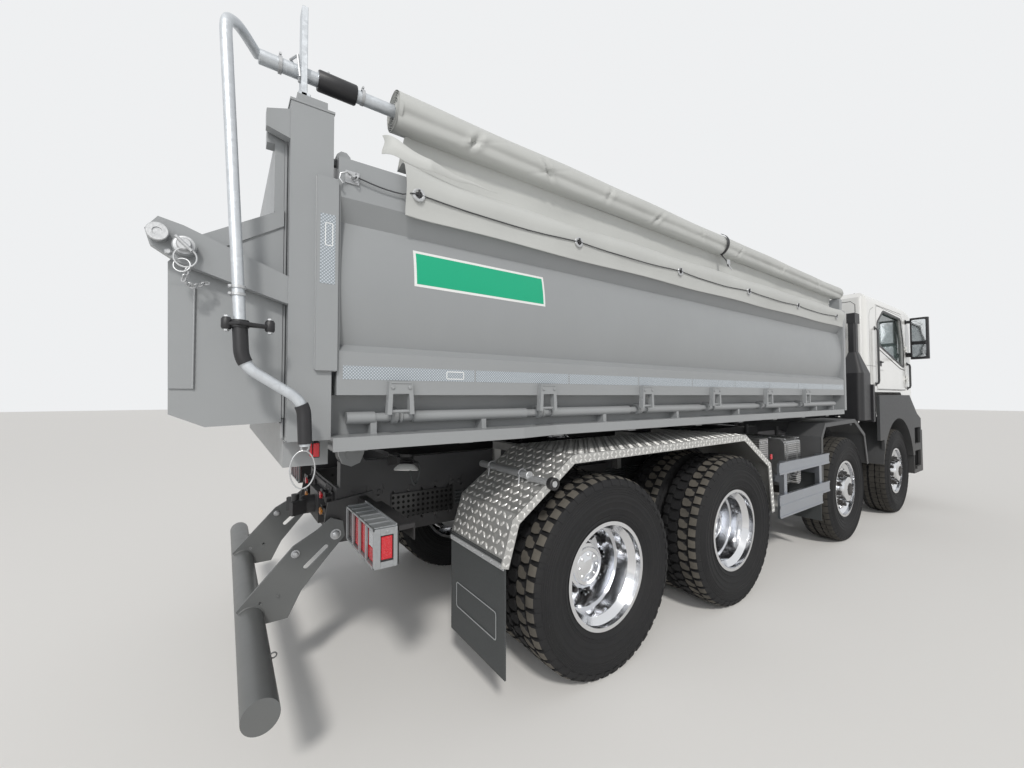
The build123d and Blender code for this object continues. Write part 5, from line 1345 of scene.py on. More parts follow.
def bead(build, start, end):
    """Weld bead with a slightly rippled surface."""
    start, end = spot(start), spot(end)
    steps = max(6, int((end - start).length / BEAD_STEP))
    axis = (end - start).normalized()
    side = axis.orthogonal().normalized()
    up = axis.cross(side)
    radii = [BEAD_RADIUS * (1.0 + 0.22 * math.sin(n * 2.4)) for n in range(steps + 1)]
    rings = [circle(start.lerp(end, n / steps), side, up, radius, 6) for n, radius in enumerate(radii)]
    build.add(flat(rings), wall(len(rings), 6))


def build_gate_lip():
    """Lips of the tailgate that close the slots over the floor's rear edge and beside the posts."""
    lip = Build()
    lip.box(at(-1616, -1192, 1407), at(-1608.5, 1192, 1478))
    for _ in sides():
        bead(lip, (-1617, 40, 1464), (-1617, 1180, 1464))
        lip.box((-1616, 1150, 1480), (-1607.5, 1197, 2466))
    lip.piece("gate_lip", "body", "tailgate")


BED_WELDS = [
    # start and end
    ((-1604, 1245, 1874), (-1604, 1245, 1965)), ((-1520, 1251, 1647), (-1450, 1251, 1647)),
    ((-1521, 1251, 1650), (-1521, 1251, 2340)), ((-1449, 1251, 1650), (-1449, 1251, 2340)),
    ((-1605, 1150, 1402), (-1605, 1250, 1402))]
BED_WELDS += [((x - 13, 1204, 1410), (x + 13, 1204, 1410))
              for x in (-1300, -800, 0, 700, 1500, 2200, 3000, 3440)]
GATE_WELDS = [((-1862, 1206, 1580), (-1862, 1206, 1900)), ((-1620, 1200, 2150), (-1850, 1200, 2000))]


def build_welds():
    """Weld beads of the body and the tailgate."""
    for name, body, welds in (("body_welds", "bed", BED_WELDS), ("gate_welds", "tailgate", GATE_WELDS)):
        build = Build()
        for _ in sides():
            for start, end in welds:
                bead(build, start, end)
        build.piece(name, "body", body)


SLOT_STATION, SLOT_Z, SLOT_RADIUS = -1663, 478, 61


def build_guard_fittings():
    """Rims of the curved slots, bolts and rings of the underrun guard's arms."""
    guard = Build()
    for _, side in sides():
        for y in (441, 455):
            guard.tube([(SLOT_STATION + SLOT_RADIUS * math.cos(a), y, SLOT_Z + SLOT_RADIUS * math.sin(a))
                        for a in (math.radians(degrees) for degrees in range(-20, 150, 10))], 0.004, 8)
        guard.bolt((-1545, 456, 560), (0, side, 0), 0.007)
        ring(guard, (-1600, 880, 505), (0, 1, 0.2), 0.012, 0.003)
    guard.piece("guard_fittings", "guard", "underrun")


CRANK_CORNERS = [(-1700.0, -1170.0, 2748.0), (-1760.0, -1250.0, 2770.0), (-1795.0, -1350.0, 2700.0),
                 (-1738.0, -1350.0, 1652.0), (-1568.0, -1350.0, 1538.0), (-1562.0, -1350.0, 1394.0)]
CRANK_BEND, CRANK_BEND_STEPS = 0.048, 16


def rounded_line(points, reach, steps):
    """Line through points, with each corner rounded off over reach before and after it."""
    points = [spot(p) for p in points]
    corners = zip(points, points[1:], points[2:])
    return points[:1] + flat(rounded_corner(*corner, reach, steps) for corner in corners) + points[-1:]


def build_crank():
    """Winding tube through the roll, its collar and stop rod, and the crank that hangs from it."""
    bar = Build()
    bar.rod((-1700, ROLL_Y, 2748), (3700, ROLL_Y, 2667), 0.024, 32)
    bar.rod((-1509, ROLL_Y, 2745), (-1370, ROLL_Y, 2745), 0.034, 32)
    bar.tube(rounded_line(CRANK_CORNERS, CRANK_BEND, CRANK_BEND_STEPS), 0.0165, 28)
    bar.box((-1571, -1225, 2625.3), (-1551, -1165, 2962))
    bar.box((-1580, -1225, 2625.3), (-1540, -1165, 2645))
    crank = bar.piece("crank_bar", "galvanised", "bed")
    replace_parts(crank, "tarp_crank")


SLEEVE = [(0.0255, 0), (0.034, 0), (0.0365, 0.004), (0.0365, 0.135), (0.034, 0.139), (0.0255, 0.139)]
CLAMP_COLLAR = [(0.0195, 0), (0.024, 0.001), (0.0255, 0.012), (0.024, 0.023), (0.0195, 0.024)]
CLAMP_FOOT = [(0, 0), (0.011, 0), (0.014, 0.005), (0.014, 0.029), (0.010, 0.036), (0, 0.036)]
CRANK_CLIP = [(0.0165, 0), (0.0205, 0.001), (0.0205, 0.009), (0.0165, 0.010)]
BAR_CLIP = [(0.025, 0), (0.0295, 0.001), (0.0295, 0.012), (0.025, 0.013)]
CLAMP_ENDS = (-1778, -1666)
CLAMP_STRAPS = (
    ((-1771, -1356, 1772), (-1745, -1377, 1774), (-1703, -1366, 1772), (-1674, -1356, 1772)),
    ((-1771, -1346, 1774), (-1745, -1324, 1776), (-1703, -1336, 1774), (-1674, -1346, 1772)))
UP = (0, 0, 1)


def build_crank_rubbers():
    """Sleeve of the winding tube, hoses over the crank's bends and the strap clamp round its middle."""
    hose = Build()
    hose.revolve((-1509, -1170, 2745.5), (1, 0, -0.015), SLEEVE, 36)
    line = rounded_line(CRANK_CORNERS, CRANK_BEND, CRANK_BEND_STEPS)
    bend, half = CRANK_BEND_STEPS + 1, 9
    middle, last = 1 + 2 * bend, 1 + 3 * bend
    hose.tube([(-1744.7, -1350, 1776)] + line[middle:middle + half], 0.0205, 24)
    hose.tube(line[last + half:last + bend] + [(-1562.3, -1350, 1402)], 0.0215, 24)
    hose.revolve((-1744.5, -1350, 1762), UP, CLAMP_COLLAR, 30)
    for strap in CLAMP_STRAPS:
        hose.tube(strap, 0.0065, 10)
    for x in CLAMP_ENDS:
        hose.revolve((x, -1350, 1756), UP, CLAMP_FOOT, 18)
    hose.piece("crank_rubbers", "black_plastic", "bed")


def build_crank_clips():
    """Hose clips, bolts, the locking wire and the ring with a wire loop at the crank's lower end."""
    clips = Build()
    for low in (1858, 1880):
        clips.revolve((-1750, -1350, low), UP, CRANK_CLIP, 28)
        clips.rod((-1772, -1362, low + 5), (-1772, -1338, low + 5), 0.0045, 12)
    for x in (-1640, -1480, -1352):
        clips.revolve((x, -1170, 2747), (1, 0, 0), BAR_CLIP, 28)
        clips.rod((x + 6, -1170, 2779), (x + 6, -1188, 2779), 0.0045, 12)
    clips.bolts((-1, 0, 0), 0.008, *((-1572, -1195, z) for z in (2600, 2650, 2700)))
    for x in CLAMP_ENDS:
        clips.bolt((x, -1350, 1792), UP, 0.008)
        clips.bolt((x, -1350, 1756), (0, 0, -1), 0.008)
    clips.tube([(-1574, -1216, 2700), (-1582, -1216, 2776), (-1600, -1170, 2782), (-1582, -1150, 2776)],
               0.005, 10)
    ring(clips, (-1562, -1350, 1388), (0, 1, 0.3), 0.011, 0.003)
    clips.tube([(-1568 + 37 * math.sin(a), -1350 + 9 * math.sin(a / 2), 1318 + 62 * math.cos(a))
                for a in (math.radians(degrees) for degrees in range(0, 361, 15))], 0.0022, 10)
    clips.piece("crank_clips", "zinc", "bed")


build_tarp_roll()
build_tarp_curtain()
build_curtain_rope()
build_tie_strap()
build_tread_plate()
build_fender_fittings()
build_clamp_details()
build_tapes()
build_side_panel()
build_pin_hardware()
build_welds()
build_guard_fittings()
build_gate_lip()
build_crank()
build_crank_rubbers()
build_crank_clips()


# Lamp clusters in galvanised guards, work lamps, marker lamps and the lamps under the posts

LAMP_LOW, LAMP_HIGH = 880.0, 1035.0
LAMP_INNER, LAMP_OUTER = 765.0, 1200.0
GUARD_RIDGES = 7
GUARD_BARS = (765.0, 873.0, 981.0, 1081.0, 1191.0)
STAY_CAP = [(0.0165, 0), (0.029, 0.004), (0.0305, 0.010), (0.0305, 0.034), (0.027, 0.038), (0.018, 0.038)]
LENSES = [
    # inner and outer distance, low and high, look
    (776.0, 872.0, 890.0, 1025.0, "dark_lens"),
    (884.0, 980.0, 890.0, 1025.0, "red_lens"),
    (992.0, 1080.0, 890.0, 1025.0, "red_lens"),
    (1092.0, 1190.0, 890.0, 942.0, "red_lens"),
    (1092.0, 1190.0, 946.0, 1025.0, "clear_lens")]


def build_lamp_guards():
    """Galvanised guard round each cluster: ridged top, barred face and a side plate with a window."""
    guard = Build()
    for _, side in sides():
        guard.boxes(0.001, ((-1292, LAMP_INNER, 1030), (-1200, LAMP_OUTER, LAMP_HIGH)),
                    ((-1292, LAMP_INNER, LAMP_LOW), (-1200, LAMP_OUTER, LAMP_LOW + 4)))
        for n in range(GUARD_RIDGES):
            y = LAMP_INNER + 8 + 68 * n
            guard.box((-1290, y, 1034), (-1203, y + 12, 1040))
        guard.boxes(0.001, *(((-1296, y, LAMP_LOW), (-1286, y + 9, LAMP_HIGH)) for y in GUARD_BARS),
                    ((-1296, LAMP_INNER, LAMP_LOW), (-1288, LAMP_OUTER, LAMP_LOW + 8)),
                    ((-1296, LAMP_INNER, 1027), (-1288, LAMP_OUTER, LAMP_HIGH)))
        guard.boxes(0, ((-1268, 1197, LAMP_LOW), (-1216, 1201, 905)),
                    ((-1268, 1197, 1008), (-1216, 1201, LAMP_HIGH)))
        guard.boxes(0.001, ((-1292, 1197, LAMP_LOW), (-1268, 1201, LAMP_HIGH)),
                    ((-1216, 1197, LAMP_LOW), (-1200, 1201, LAMP_HIGH)))
        guard.bolt((-1240, 1201, 1021), (0, side, 0), 0.005)
        guard.box((-1204, 745, 874), (-1198, 1190, 1044), 0.001)
        guard.bolts((-1, 0, 0), 0.006, (-1204, 752, 895), (-1204, 752, 1020))
    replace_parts(guard.piece("lamp_guards", "guard_zinc", "chassis", smooth=False), "rear_lamps")


def build_lamp_housings():
    """Dark boxes and brackets behind the lamps, and the caps of the round stays."""
    dark = Build()
    for _, side in sides():
        dark.boxes(0.002, ((-1272, 772, 886), (-1205, 1195, 1028)), ((-1197, 745, 1010), (-1120, 1185, 1030)),
                   ((-1197, 745, 876), (-1188, 1185, 1030)), ((-1126, 745, 960), (-1120, 1185, 1012)))
        dark.box((-1180, 800, 930), (-1130, 900, 1006), 0.012)
        dark.box((-1150, 417, 900), (-1100, 745, 990), 0.004)
        dark.revolve((-480, 1292, 1135), (0, side, 0), STAY_CAP, 28)
    dark.piece("lamp_housings", "black_plastic", "chassis")


def build_lenses():
    """Lenses of the clusters, with a red one on each cluster's side and on each side guard's post."""
    builds = {look: Build() for look in ("red_lens", "clear_lens", "dark_lens")}
    for _ in sides():
        for inner, outer, low, high, look in LENSES:
            builds[look].box((-1271, inner, low), (-1283, outer, high), 0.003)
        builds["red_lens"].boxes(0.003, ((-1264, 1193, 912), (-1220, 1199, 1002)),
                                 ((1925, 1236, 1030), (1950, 1247, 1072)))
    for look, build in builds.items():
        build.piece(f"lamp_lenses_{look}", look, "chassis", smooth=False)


def build_post_lamps():
    """Small red lamps under the rear posts."""
    lamp, lens_build = Build(), Build()
    for _ in sides():
        lamp.box((-1518, 1183, 1335), (-1494, 1214, 1392))
        lamp.box((-1512, 1190, 1390), (-1500, 1206, 1401), 0.001)
        lens_build.boxes(0.003, ((-1518, 1184, 1339), (-1525, 1213, 1388)),
                         ((-1516, 1213, 1339), (-1496, 1219, 1388)))
    lamp.piece("post_lamp_bodies", "black_plastic", "bed")
    lens_build.piece("post_lamp_lenses", "red_lens", "bed", smooth=False)


WORK_LAMP_SHELL = [(0.030, -0.004), (0.046, 0.004), (0.060, 0.018), (0.066, 0.030), (0.061, 0.033),
                   (0.054, 0.024), (0, 0.018)]
WORK_LAMP_FINS = [(0.034, 0), (0.040, 0.006), (0.034, 0.012), (0.040, 0.018), (0.034, 0.024), (0.040, 0.030),
                  (0.034, 0.036), (0.036, 0.052), (0, 0.054)]


def build_work_lamps():
    """Round work lamps on the subframe, each with a coiled lead clipped beside it."""
    shell, back, lead = Build(), Build(), Build()
    for _, side in sides():
        hub = spot((-955, 640, 1182))
        aim = Vector((-0.12, side * 0.16, -0.98)).normalized()
        shell.revolve(hub, aim, WORK_LAMP_SHELL, 40)
        back.revolve(hub, -aim, WORK_LAMP_FINS, 28)
        back.rod(hub - aim * 0.03, (-955, 560, 1216), 0.010, 14)
        back.boxes(0.002, ((-985, 425, 1150), (-935, 432, 1230)), ((-985, 430, 1212), (-935, 575, 1222)))
        lead.tube([(-905 + 26 * math.sin(a), 640 + 14 * math.sin(2 * a), 1130 + 62 * math.cos(a))
                   for a in turns(26) + [2 * math.pi]], 0.006, 10)
        lead.tube([(-905, 640, 1192), (-920, 600, 1200), (-940, 560, 1198)], 0.006, 10)
    shell.piece("work_lamp_shells", "white_shell", "chassis")
    back.piece("work_lamp_backs", "black_plastic", "chassis")
    lead.piece("work_lamp_leads", "rubber", "chassis")


# Chassis trim: bolts, cover plates, clipped lines and guard fittings


def build_flap_frames():
    """Bare light frame on each rear mud flap."""
    build = Build()
    loop = rounded_loop([(770, 405), (1170, 405), (1170, 535), (770, 535)], 16)
    for _ in sides():
        strip(build, [(-713.6, y, z) for y, z in loop], (-1, 0, 0), 0.006, 0.0008, closed=True)
    build.piece("flap_frames", "grey_film", "chassis")


RAIL_BOLTS, RAIL_BOLT_PITCH = 46, 170
RAIL_PLATES, RAIL_PLATE_PITCH = 9, 520
RAIL_LINES = ((870.0, 0.009), (893.0, 0.007), (911.0, 0.007), (930.0, 0.010))


def build_rail_bolts():
    """Rows of bolts along the frame's rails, and bolted plates on them."""
    bolts = Build()
    for _, side in sides():
        out = (0, side, 0)
        for n in range(RAIL_BOLTS):
            station = -1180 + RAIL_BOLT_PITCH * n
            bolts.bolts(out, 0.009, (station, 400, 790), (station, 400, 1012))
        for n in range(RAIL_PLATES):
            station = -1100 + RAIL_PLATE_PITCH * n
            bolts.box((station, 400, 985), (station + 90, 408, 1110))
            bolts.bolts(out, 0.011, *((station + x, 408, z) for x in (22, 68) for z in (1005, 1085)))
    bolts.piece("rail_bolts", "chassis", "chassis")


def build_rail_trim():
    """Perforated covers, air and cable lines, and the clips that hold the lines on the rails."""
    cover, lines, clips = Build(), Build(), Build()
    for _ in sides():
        cover.boxes(0.001, ((-960, 409, 830), (-560, 412, 975)), ((-960, 404, 826), (-948, 411, 979)),
                    ((-572, 404, 826), (-560, 411, 979)))
        for n, (z, radius) in enumerate(RAIL_LINES):
            lines.tube([(station, 407 + 2 * (n % 2), z + 3 * math.sin(station / 240.0 + n))
                        for station in range(-540, 4301, 60)], radius, 8)
        for station in range(-480, 4300, 400):
            clips.box((station, 400, 856), (station + 16, 421, 946))
    cover.piece("rail_covers", "perforated_dark", "chassis")
    lines.piece("rail_lines", "rubber", "chassis")
    clips.piece("line_clips", "black_plastic", "chassis")


COUPLINGS = ((250, 990), (330, 985), (250, 900), (335, 895))
COUPLING = [(0.034, 0), (0.034, 0.012), (0.026, 0.016), (0.026, 0.040), (0.020, 0.046), (0, 0.046)]
COUPLING_CAP = [(0.021, 0), (0.021, 0.010), (0.015, 0.014), (0, 0.014)]


def build_couplings():
    """Couplings, coloured caps and clipped leads on the frame's rear plate."""
    dark = Build()
    for _ in sides():
        for y, z in COUPLINGS:
            dark.revolve((-1264, y, z), (-1, 0, 0), COUPLING, 24)
            dark.box((-1308, y - 26, z + 10), (-1314, y + 26, z + 34), 0.003)
        for y in range(180, 301, 30):
            dark.tube([(-1266, y, 1040), (-1276, y + 3, 1010), (-1272, y + 6, 960), (-1270, y + 4, 900),
                       (-1268, y, 860)], 0.007, 8)
    dark.box((-1264, -180, 1010), (-1276, 180, 1036))
    dark.piece("end_couplings", "black_plastic", "chassis")
    for n, (look, z) in enumerate((("red_lens", 990), ("amber_lens", 900))):
        cap = Build()
        for _ in sides():
            cap.revolve((-1310, 250, z), (-1, 0, 0), COUPLING_CAP, 20)
        cap.piece(f"coupling_caps_{n}", look, "chassis")


def build_guard_bolts():
    """Large bolts and lock pins through the arms of the underrun guard."""
    bright = Build()
    for _, side in sides():
        for x, z, size, shank in ((-1277, 816, 0.022, 0.01364), (-1470, 752, 0.016, 0.0136)):
            wide = size * 1.25
            head = [(wide, 0), (wide, 0.004), (size * 0.9, 0.005), (size * 0.86, 0.014), (size * 0.6, 0.019),
                    (0, 0.021)]
            nut = [(wide, 0), (wide, 0.004), (size * 0.8, 0.012), (0, 0.014)]
            bright.revolve((x, 455, z), (0, side, 0), head, 28)
            bright.revolve((x, 441, z), (0, -side, 0), nut, 24)
            bright.rod((x, 455, z), (x, 441, z), shank, 20)
    bright.piece("guard_bolts", "zinc", "underrun")


# Cab: seams, seals, handles, mirrors, wipers, lamps, grille and steps

CAB_REAR = 4719.7
SEAM_Y, FACE_Y = 1150.3, 1149.6
HANDLE_FOOT = [(0.026, 0), (0.026, 0.004), (0.016, 0.010), (0, 0.010)]
WINDOW = [(5168, 2500), (5215, 2220), (6215, 1990), (6370, 1965), (6370, 2320), (6250, 2655), (5440, 2680)]
DOOR_REAR, DOOR_FRONT = 5110.0, 6440.0


def build_cab_seams():
    """Dark joints between the cab's panels, on its sides and its rear wall."""
    seam = Build()
    for _, side in sides():
        out = (0, side, 0)
        strip(seam, [(4860, SEAM_Y, 1640), (4860, SEAM_Y, 2560), (4905, SEAM_Y, 2640), (5040, SEAM_Y, 2690)],
              out, 0.005, 0.0006)
        strip(seam, [(4740, SEAM_Y, 1930), (5090, SEAM_Y, 1930)], out, 0.005, 0.0006)
        strip(seam, [(6480, SEAM_Y, 1640), (6480, SEAM_Y, 2500)], out, 0.004, 0.0006)
    for _ in sides():
        strip(seam, [(CAB_REAR, 1052, 1640), (CAB_REAR, 1052, 2700), (CAB_REAR, 1010, 2745),
                     (CAB_REAR, 0, 2752)], (-1, 0, 0), 0.007, 0.0008)
    for z in (1900, 2080, 2260, 2440):
        strip(seam, [(CAB_REAR, -900, z), (CAB_REAR, 900, z)], (-1, 0, 0), 0.004, 0.0006)
    seam.piece("cab_seams", "black_plastic", "cab")


def build_door_details():
    """Seals round the doors and their windows, door pulls and hinge plates."""
    door_loop = rounded_loop([(DOOR_REAR + 12, 1640), (DOOR_FRONT - 12, 1640), (DOOR_FRONT - 12, 2330),
                              (6300, 2700), (DOOR_REAR + 30, 2722)], 55)
    for side_name, side in sides():
        door, pull, hinge = Build(), Build(), Build()
        out = (0, side, 0)
        body = f"door_{side_name}"
        strip(door, [(x, FACE_Y, z) for x, z in door_loop], out, 0.006, 0.0012, closed=True)
        strip(door, [(x, FACE_Y, z) for x, z in rounded_loop(WINDOW, 42)], out, 0.034, 0.0035, closed=True)
        strip(door, [(5180, 1150.5, 2170), (6190, 1150.5, 1938), (6400, 1150.5, 1925)], out, 0.012, 0.002)
        door.box((5168, 1149, 1938), (5330, 1152.5, 2012))
        door.piece(f"door_seals_{side_name}", "black_plastic", body)
        pull.tube([(5186, 1150, 1988), (5192, 1170, 1990), (5215, 1176, 1990), (5285, 1176, 1990),
                   (5306, 1170, 1990), (5312, 1150, 1988)], 0.0085, 12)
        pull.rod((5250, 1151, 1957), (5250, 1155, 1957), 0.011, 20)
        pull.piece(f"door_pull_{side_name}", "dark_plastic", body)
        for z in (1760, 2240):
            hinge.box((6448, 1150, z - 34), (6500, 1159, z + 34), 0.003)
            hinge.bolts(out, 0.007, (6486, 1159, z - 20), (6486, 1159, z + 20))
        hinge.piece(f"hinge_plates_{side_name}", "cab", "cab")


def build_cab_rails():
    """Grab handles beside the doors, the roof hatch's seal and the roof's gutters."""
    grips, roof = Build(), Build()
    for _, side in sides():
        for x, low, high in ((5066, 1700, 2420), (6530, 1660, 2020)):
            grips.tube([(x, 1150, low), (x, 1178, low + 14), (x, 1184, low + 40), (x, 1184, high - 40),
                        (x, 1178, high - 14), (x, 1150, high)], 0.0125, 14)
            for z in (low, high):
                grips.revolve((x, 1150, z), (0, side, 0), HANDLE_FOOT, 20)
    grips.piece("grab_handles", "dark_plastic", "cab")
    hatch = rounded_loop([(5335, -315), (5865, -315), (5865, 315), (5335, 315)], 50)
    strip(roof, [(x, y, 2868.5) for x, y in hatch], (0, 0, 1), 0.03, 0.006, closed=True)
    for _ in sides():
        roof.tube([(4822, 1019, 2858), (5700, 1019, 2868), (6520, 1019, 2816)], 0.007, 8)
    roof.piece("roof_seals", "black_plastic", "cab")


MIRROR_REAR = 6459.0
MIRROR_FOOT = [(0.034, 0), (0.034, 0.006), (0.02, 0.016), (0, 0.016)]


def build_mirror_faces():
    """Slightly domed mirror panes with their bezels and arms."""
    panes, bezel = Build(), Build()
    for _, side in sides():
        for low, high in ((2335.0, 2662.0), (2108.0, 2300.0)):
            loop = rounded_loop([(1222, low), (1382, low), (1382, high), (1222, high)], 26)
            count = len(loop)
            front = [spot((MIRROR_REAR - 3, y, z)) for y, z in loop]
            back = [spot((MIRROR_REAR + 2, y, z)) for y, z in loop]
            middle = spot((MIRROR_REAR - 5.5, 1302, (low + high) / 2))
            faces = [(i, (i + 1) % count, 2 * count) for i in range(count)]
            panes.add(front + back + [middle], faces + wall(2, count))
            strip(bezel, [(MIRROR_REAR + 1, y, z) for y, z in loop], (-1, 0, 0), 0.016, 0.008, closed=True)
        for z in (2165.0, 2640.0):
            bezel.tube([(6500, 1150, z), (6520, 1178, z + 6), (6515, 1206, z + 4)], 0.014, 12)
            bezel.revolve((6500, 1150, z), (0, side, 0), MIRROR_FOOT, 22)
        strip(bezel, [(6470, 1400.0, 2100), (6470, 1400.0, 2670)], (0, side, 0), 0.004, 0.0)
    panes.piece("mirror_panes", "mirror", "cab")
    bezel.piece("mirror_bezels", "black_plastic", "cab")


GRILLE_BARS, GRILLE_PITCH = 11, 44
MESH_WIRES, MESH_PITCH = 60, 20.6
BUMPER_RING = [(0.062, 0), (0.062, 0.014), (0.056, 0.017), (0.052, 0.010), (0, 0.010)]
HEAD_LAMPS = ((835, 795), (960, 795))
REFLECTOR_RADIUS, BULB_RADIUS = 0.072, 0.040
REFLECTOR = [(REFLECTOR_RADIUS * share, along) for share, along in (
    (1, 0), (1, 0.012), (0.93, 0.014), (0.90, 0.006), (0.6, 0.002), (0, 0.001))]
BULB_DOME = [(BULB_RADIUS, 0), (BULB_RADIUS, 0.005), (BULB_RADIUS * 0.7, 0.008), (0, 0.010)]


def build_cab_front():
    """Bars and mesh of the grille, the bumper's trim and the head lamps' insides."""
    bars, mesh, front = Build(), Build(), Build()
    for n in range(GRILLE_BARS):
        z = 1318 + GRILLE_PITCH * n
        bars.box((7041, -622, z), (7049, 622, z + 17), 0.003)
    bars.boxes(0.003, ((7041, -632, 1300), (7050, -616, 1780)), ((7041, 616, 1300), (7050, 632, 1780)))
    bars.piece("grille_bars", "grey_plastic", "cab")
    for n in range(MESH_WIRES):
        y = -610 + MESH_PITCH * n
        mesh.box((7040.5, y, 1312), (7043, y + 3, 1778), 0)
    mesh.piece("grille_mesh", "black_plastic", "cab", smooth=False)
    ahead = (1, 0, 0)
    for _ in sides():
        front.boxes(0.001, ((6985, 40, 503), (7040, 600, 509)), ((6985, 40, 573), (7040, 600, 579)))
        strip(front, [(7050.5, 60, 660), (7050.5, 640, 660)], ahead, 0.006, 0.001)
        front.bolts(ahead, 0.009, (7049, 640, 470), (7049, 640, 1010))
        front.revolve((7040, 480, 740), ahead, BUMPER_RING, 32)
    front.piece("bumper_trim", "black_plastic", "chassis")
    insides = (("polished", 7036, REFLECTOR, 36), ("clear_lens", 7040, BULB_DOME, 32))
    for look, station, profile, count in insides:
        lamp = Build()
        for _ in sides():
            for y, z in HEAD_LAMPS:
                lamp.revolve((station, y, z), ahead, profile, count)
        lamp.piece(f"head_lamp_{look}", look, "chassis")


def screen_corners():
    """Corners of the windscreen's CAD node, so that trim sits on it, and the lowest and highest of them."""
    corners = [nodes["windscreen"].matrix_world @ v.co for v in nodes["windscreen"].data.vertices]
    bottom = max(corners, key=lambda v: (-round(v.z, 3), v.x))
    top = max(corners, key=lambda v: (round(v.z, 3), v.x))
    return corners, bottom, top


def build_wipers():
    """Two wipers with arms and blades, parked low on the windscreen."""
    _, bottom, top = screen_corners()
    up = Vector((top.x - bottom.x, 0, top.z - bottom.z)).normalized()
    out = Vector((up.z, 0, -up.x))
    wiper = Build()
    base = Vector((bottom.x, 0, bottom.z)) + up * 0.02 + out * 0.004
    for y in (0.86, 0.02):
        pivot = base + Vector((0, y, 0))
        wiper.revolve(pivot - out * 0.006, out, [(0.022, 0), (0.022, 0.012), (0.014, 0.020), (0, 0.020)], 20)
        tip = pivot + Vector((0, -0.42, 0)) + up * 0.11 + out * 0.016
        wiper.tube([pivot + out * 0.012, pivot.lerp(tip, 0.5) + out * 0.012, tip], 0.006, 10)
        start, end = tip + Vector((0, -0.30, 0)) - up * 0.03, tip + Vector((0, 0.30, 0)) + up * 0.03
        wiper.tube([start - out * 0.006, tip - out * 0.002, end - out * 0.006], 0.005, 8)
        strip(wiper, [start - out * 0.012, end - out * 0.012], out, 0.010, 0.008)
    wiper.piece("wipers", "black_plastic", "cab")


def build_screen_seal():
    """Rubber seal round the windscreen, in the plane of its outer face."""
    corners, bottom, top = screen_corners()
    low_half = max(v.y for v in corners if v.z < bottom.z + 0.01)
    high_half = max(v.y for v in corners if v.z > top.z - 0.01)
    slope = (top.x - bottom.x) / (top.z - bottom.z)
    out = Vector((1, 0, -slope)).normalized()
    outline = rounded_loop([(-low_half, bottom.z), (low_half, bottom.z), (high_half, top.z),
                            (-high_half, top.z)], 0.03)
    seal = Build()
    loop = [Vector((bottom.x + slope * (z - bottom.z), y, z)) for y, z in outline]
    strip(seal, loop, out, 0.034, 0.005, closed=True)
    seal.piece("screen_seal", "black_plastic", "cab")


def build_steps():
    """Ribs across the entry steps."""
    tread = Build()
    for _ in sides():
        for z in (470, 800, 1130):
            tread.boxes(0.001, *(((x, 1080, z), (x + 14, 1225, z + 5)) for x in range(6375, 6712, 42)))
    tread.piece("step_treads", "aluminium", "chassis")


# Seats, bunk, dashboard and steering wheel

PAD_POWER, SEAM_DEPTH = 7.0, 0.012


def cushion(name, low, high, crown=0.22, cuts=14, seams=()):
    """Stuffed pad: a box with swollen faces, rounded rims and stitched channels across its top."""
    low, high = spot(low), spot(high)
    middle, size = (low + high) / 2, high - low
    shape = bmesh.new()
    bmesh.ops.create_cube(shape, size=2.0)
    bmesh.ops.subdivide_edges(shape, edges=shape.edges[:], cuts=cuts, use_grid_fill=True)
    for vertex in shape.verts:
        x, y, z = vertex.co
        swell = (1 - x ** 4) * (1 - y ** 4)
        draw = 1 - 0.05 * z ** 2
        length = sum(abs(value) ** PAD_POWER for value in (x, y, z)) ** (1 / PAD_POWER)
        x, y, z = x / length * draw, y / length * draw, z / length * (1 - crown + crown * swell)
        place = Vector((middle.x + x * size.x / 2, middle.y + y * size.y / 2, middle.z + z * size.z / 2))
        for seam in seams:
            place.z -= SEAM_DEPTH * bell(x - seam, 0.07) * (1 if z > 0 else 0)
        place.z += 0.002 * math.sin(place.x * 41 + place.y * 23)
        vertex.co = place
    build = Build()
    build.take(shape)
    build.piece(name, "trim", "cab", sharp_angle=70.0)


def build_seat_bases():
    """Plinths, bellows, pans, armrests and head rest rods of the two seats."""
    shell = Build()
    for y in (-560, 560):
        shell.box((5490, y - 175, 1675), (5910, y + 175, 1760), 0.01)
        for n in range(5):
            draw, z = 4 * n, 1764 + 26 * n
            shell.box((5500 + draw, y - 165 + draw, z), (5900 - draw, y + 165 - draw, z + 20), 0.008)
        shell.box((5445, y - 240, 1896), (5945, y + 240, 1935), 0.01)
        for rod_y in (y - 70, y + 70):
            shell.rod((5350, rod_y, 2530), (5346, rod_y, 2600), 0.006, 10)
        shell.box((5455, y + 246, 1925), (5600, y + 258, 1985), 0.004)
    shell.piece("seat_bases", "dark_plastic", "cab")


def build_seats():
    """Padded cushions, backs and head rests, and the bunk's mattress."""
    for name, y in (("right", -560), ("left", 560)):
        cushion(f"seat_cushion_{name}", (5440, y - 250, 1932), (5955, y + 250, 2062),
                seams=(-0.45, 0.0, 0.45))
        cushion(f"seat_back_{name}", (5320, y - 240, 2048), (5425, y + 240, 2560), crown=0.06)
        cushion(f"head_rest_{name}", (5298, y - 130, 2570), (5392, y + 130, 2700), crown=0.12, cuts=10)
    cushion("bunk_mattress", (4805, -1050, 1950), (5225, 1050, 2078), seams=(-0.33, 0.33), cuts=18)


DASH_SECTION = [
    (6560, 1376), (6300, 1568), (6296, 1800), (6262, 1900), (6236, 1978), (6250, 2018), (6300, 2040),
    (6345, 2046), (6500, 2014), (6638, 1976), (6640, 1700)]
DASH_CENTER, DASH_HALF, DASH_BEVEL = (6440.0, 1780.0), 1036.0, 12
GEAR_BOOT = [(0.012, 0), (0.026, 0.018), (0.030, 0.034), (0.022, 0.050), (0, 0.056)]


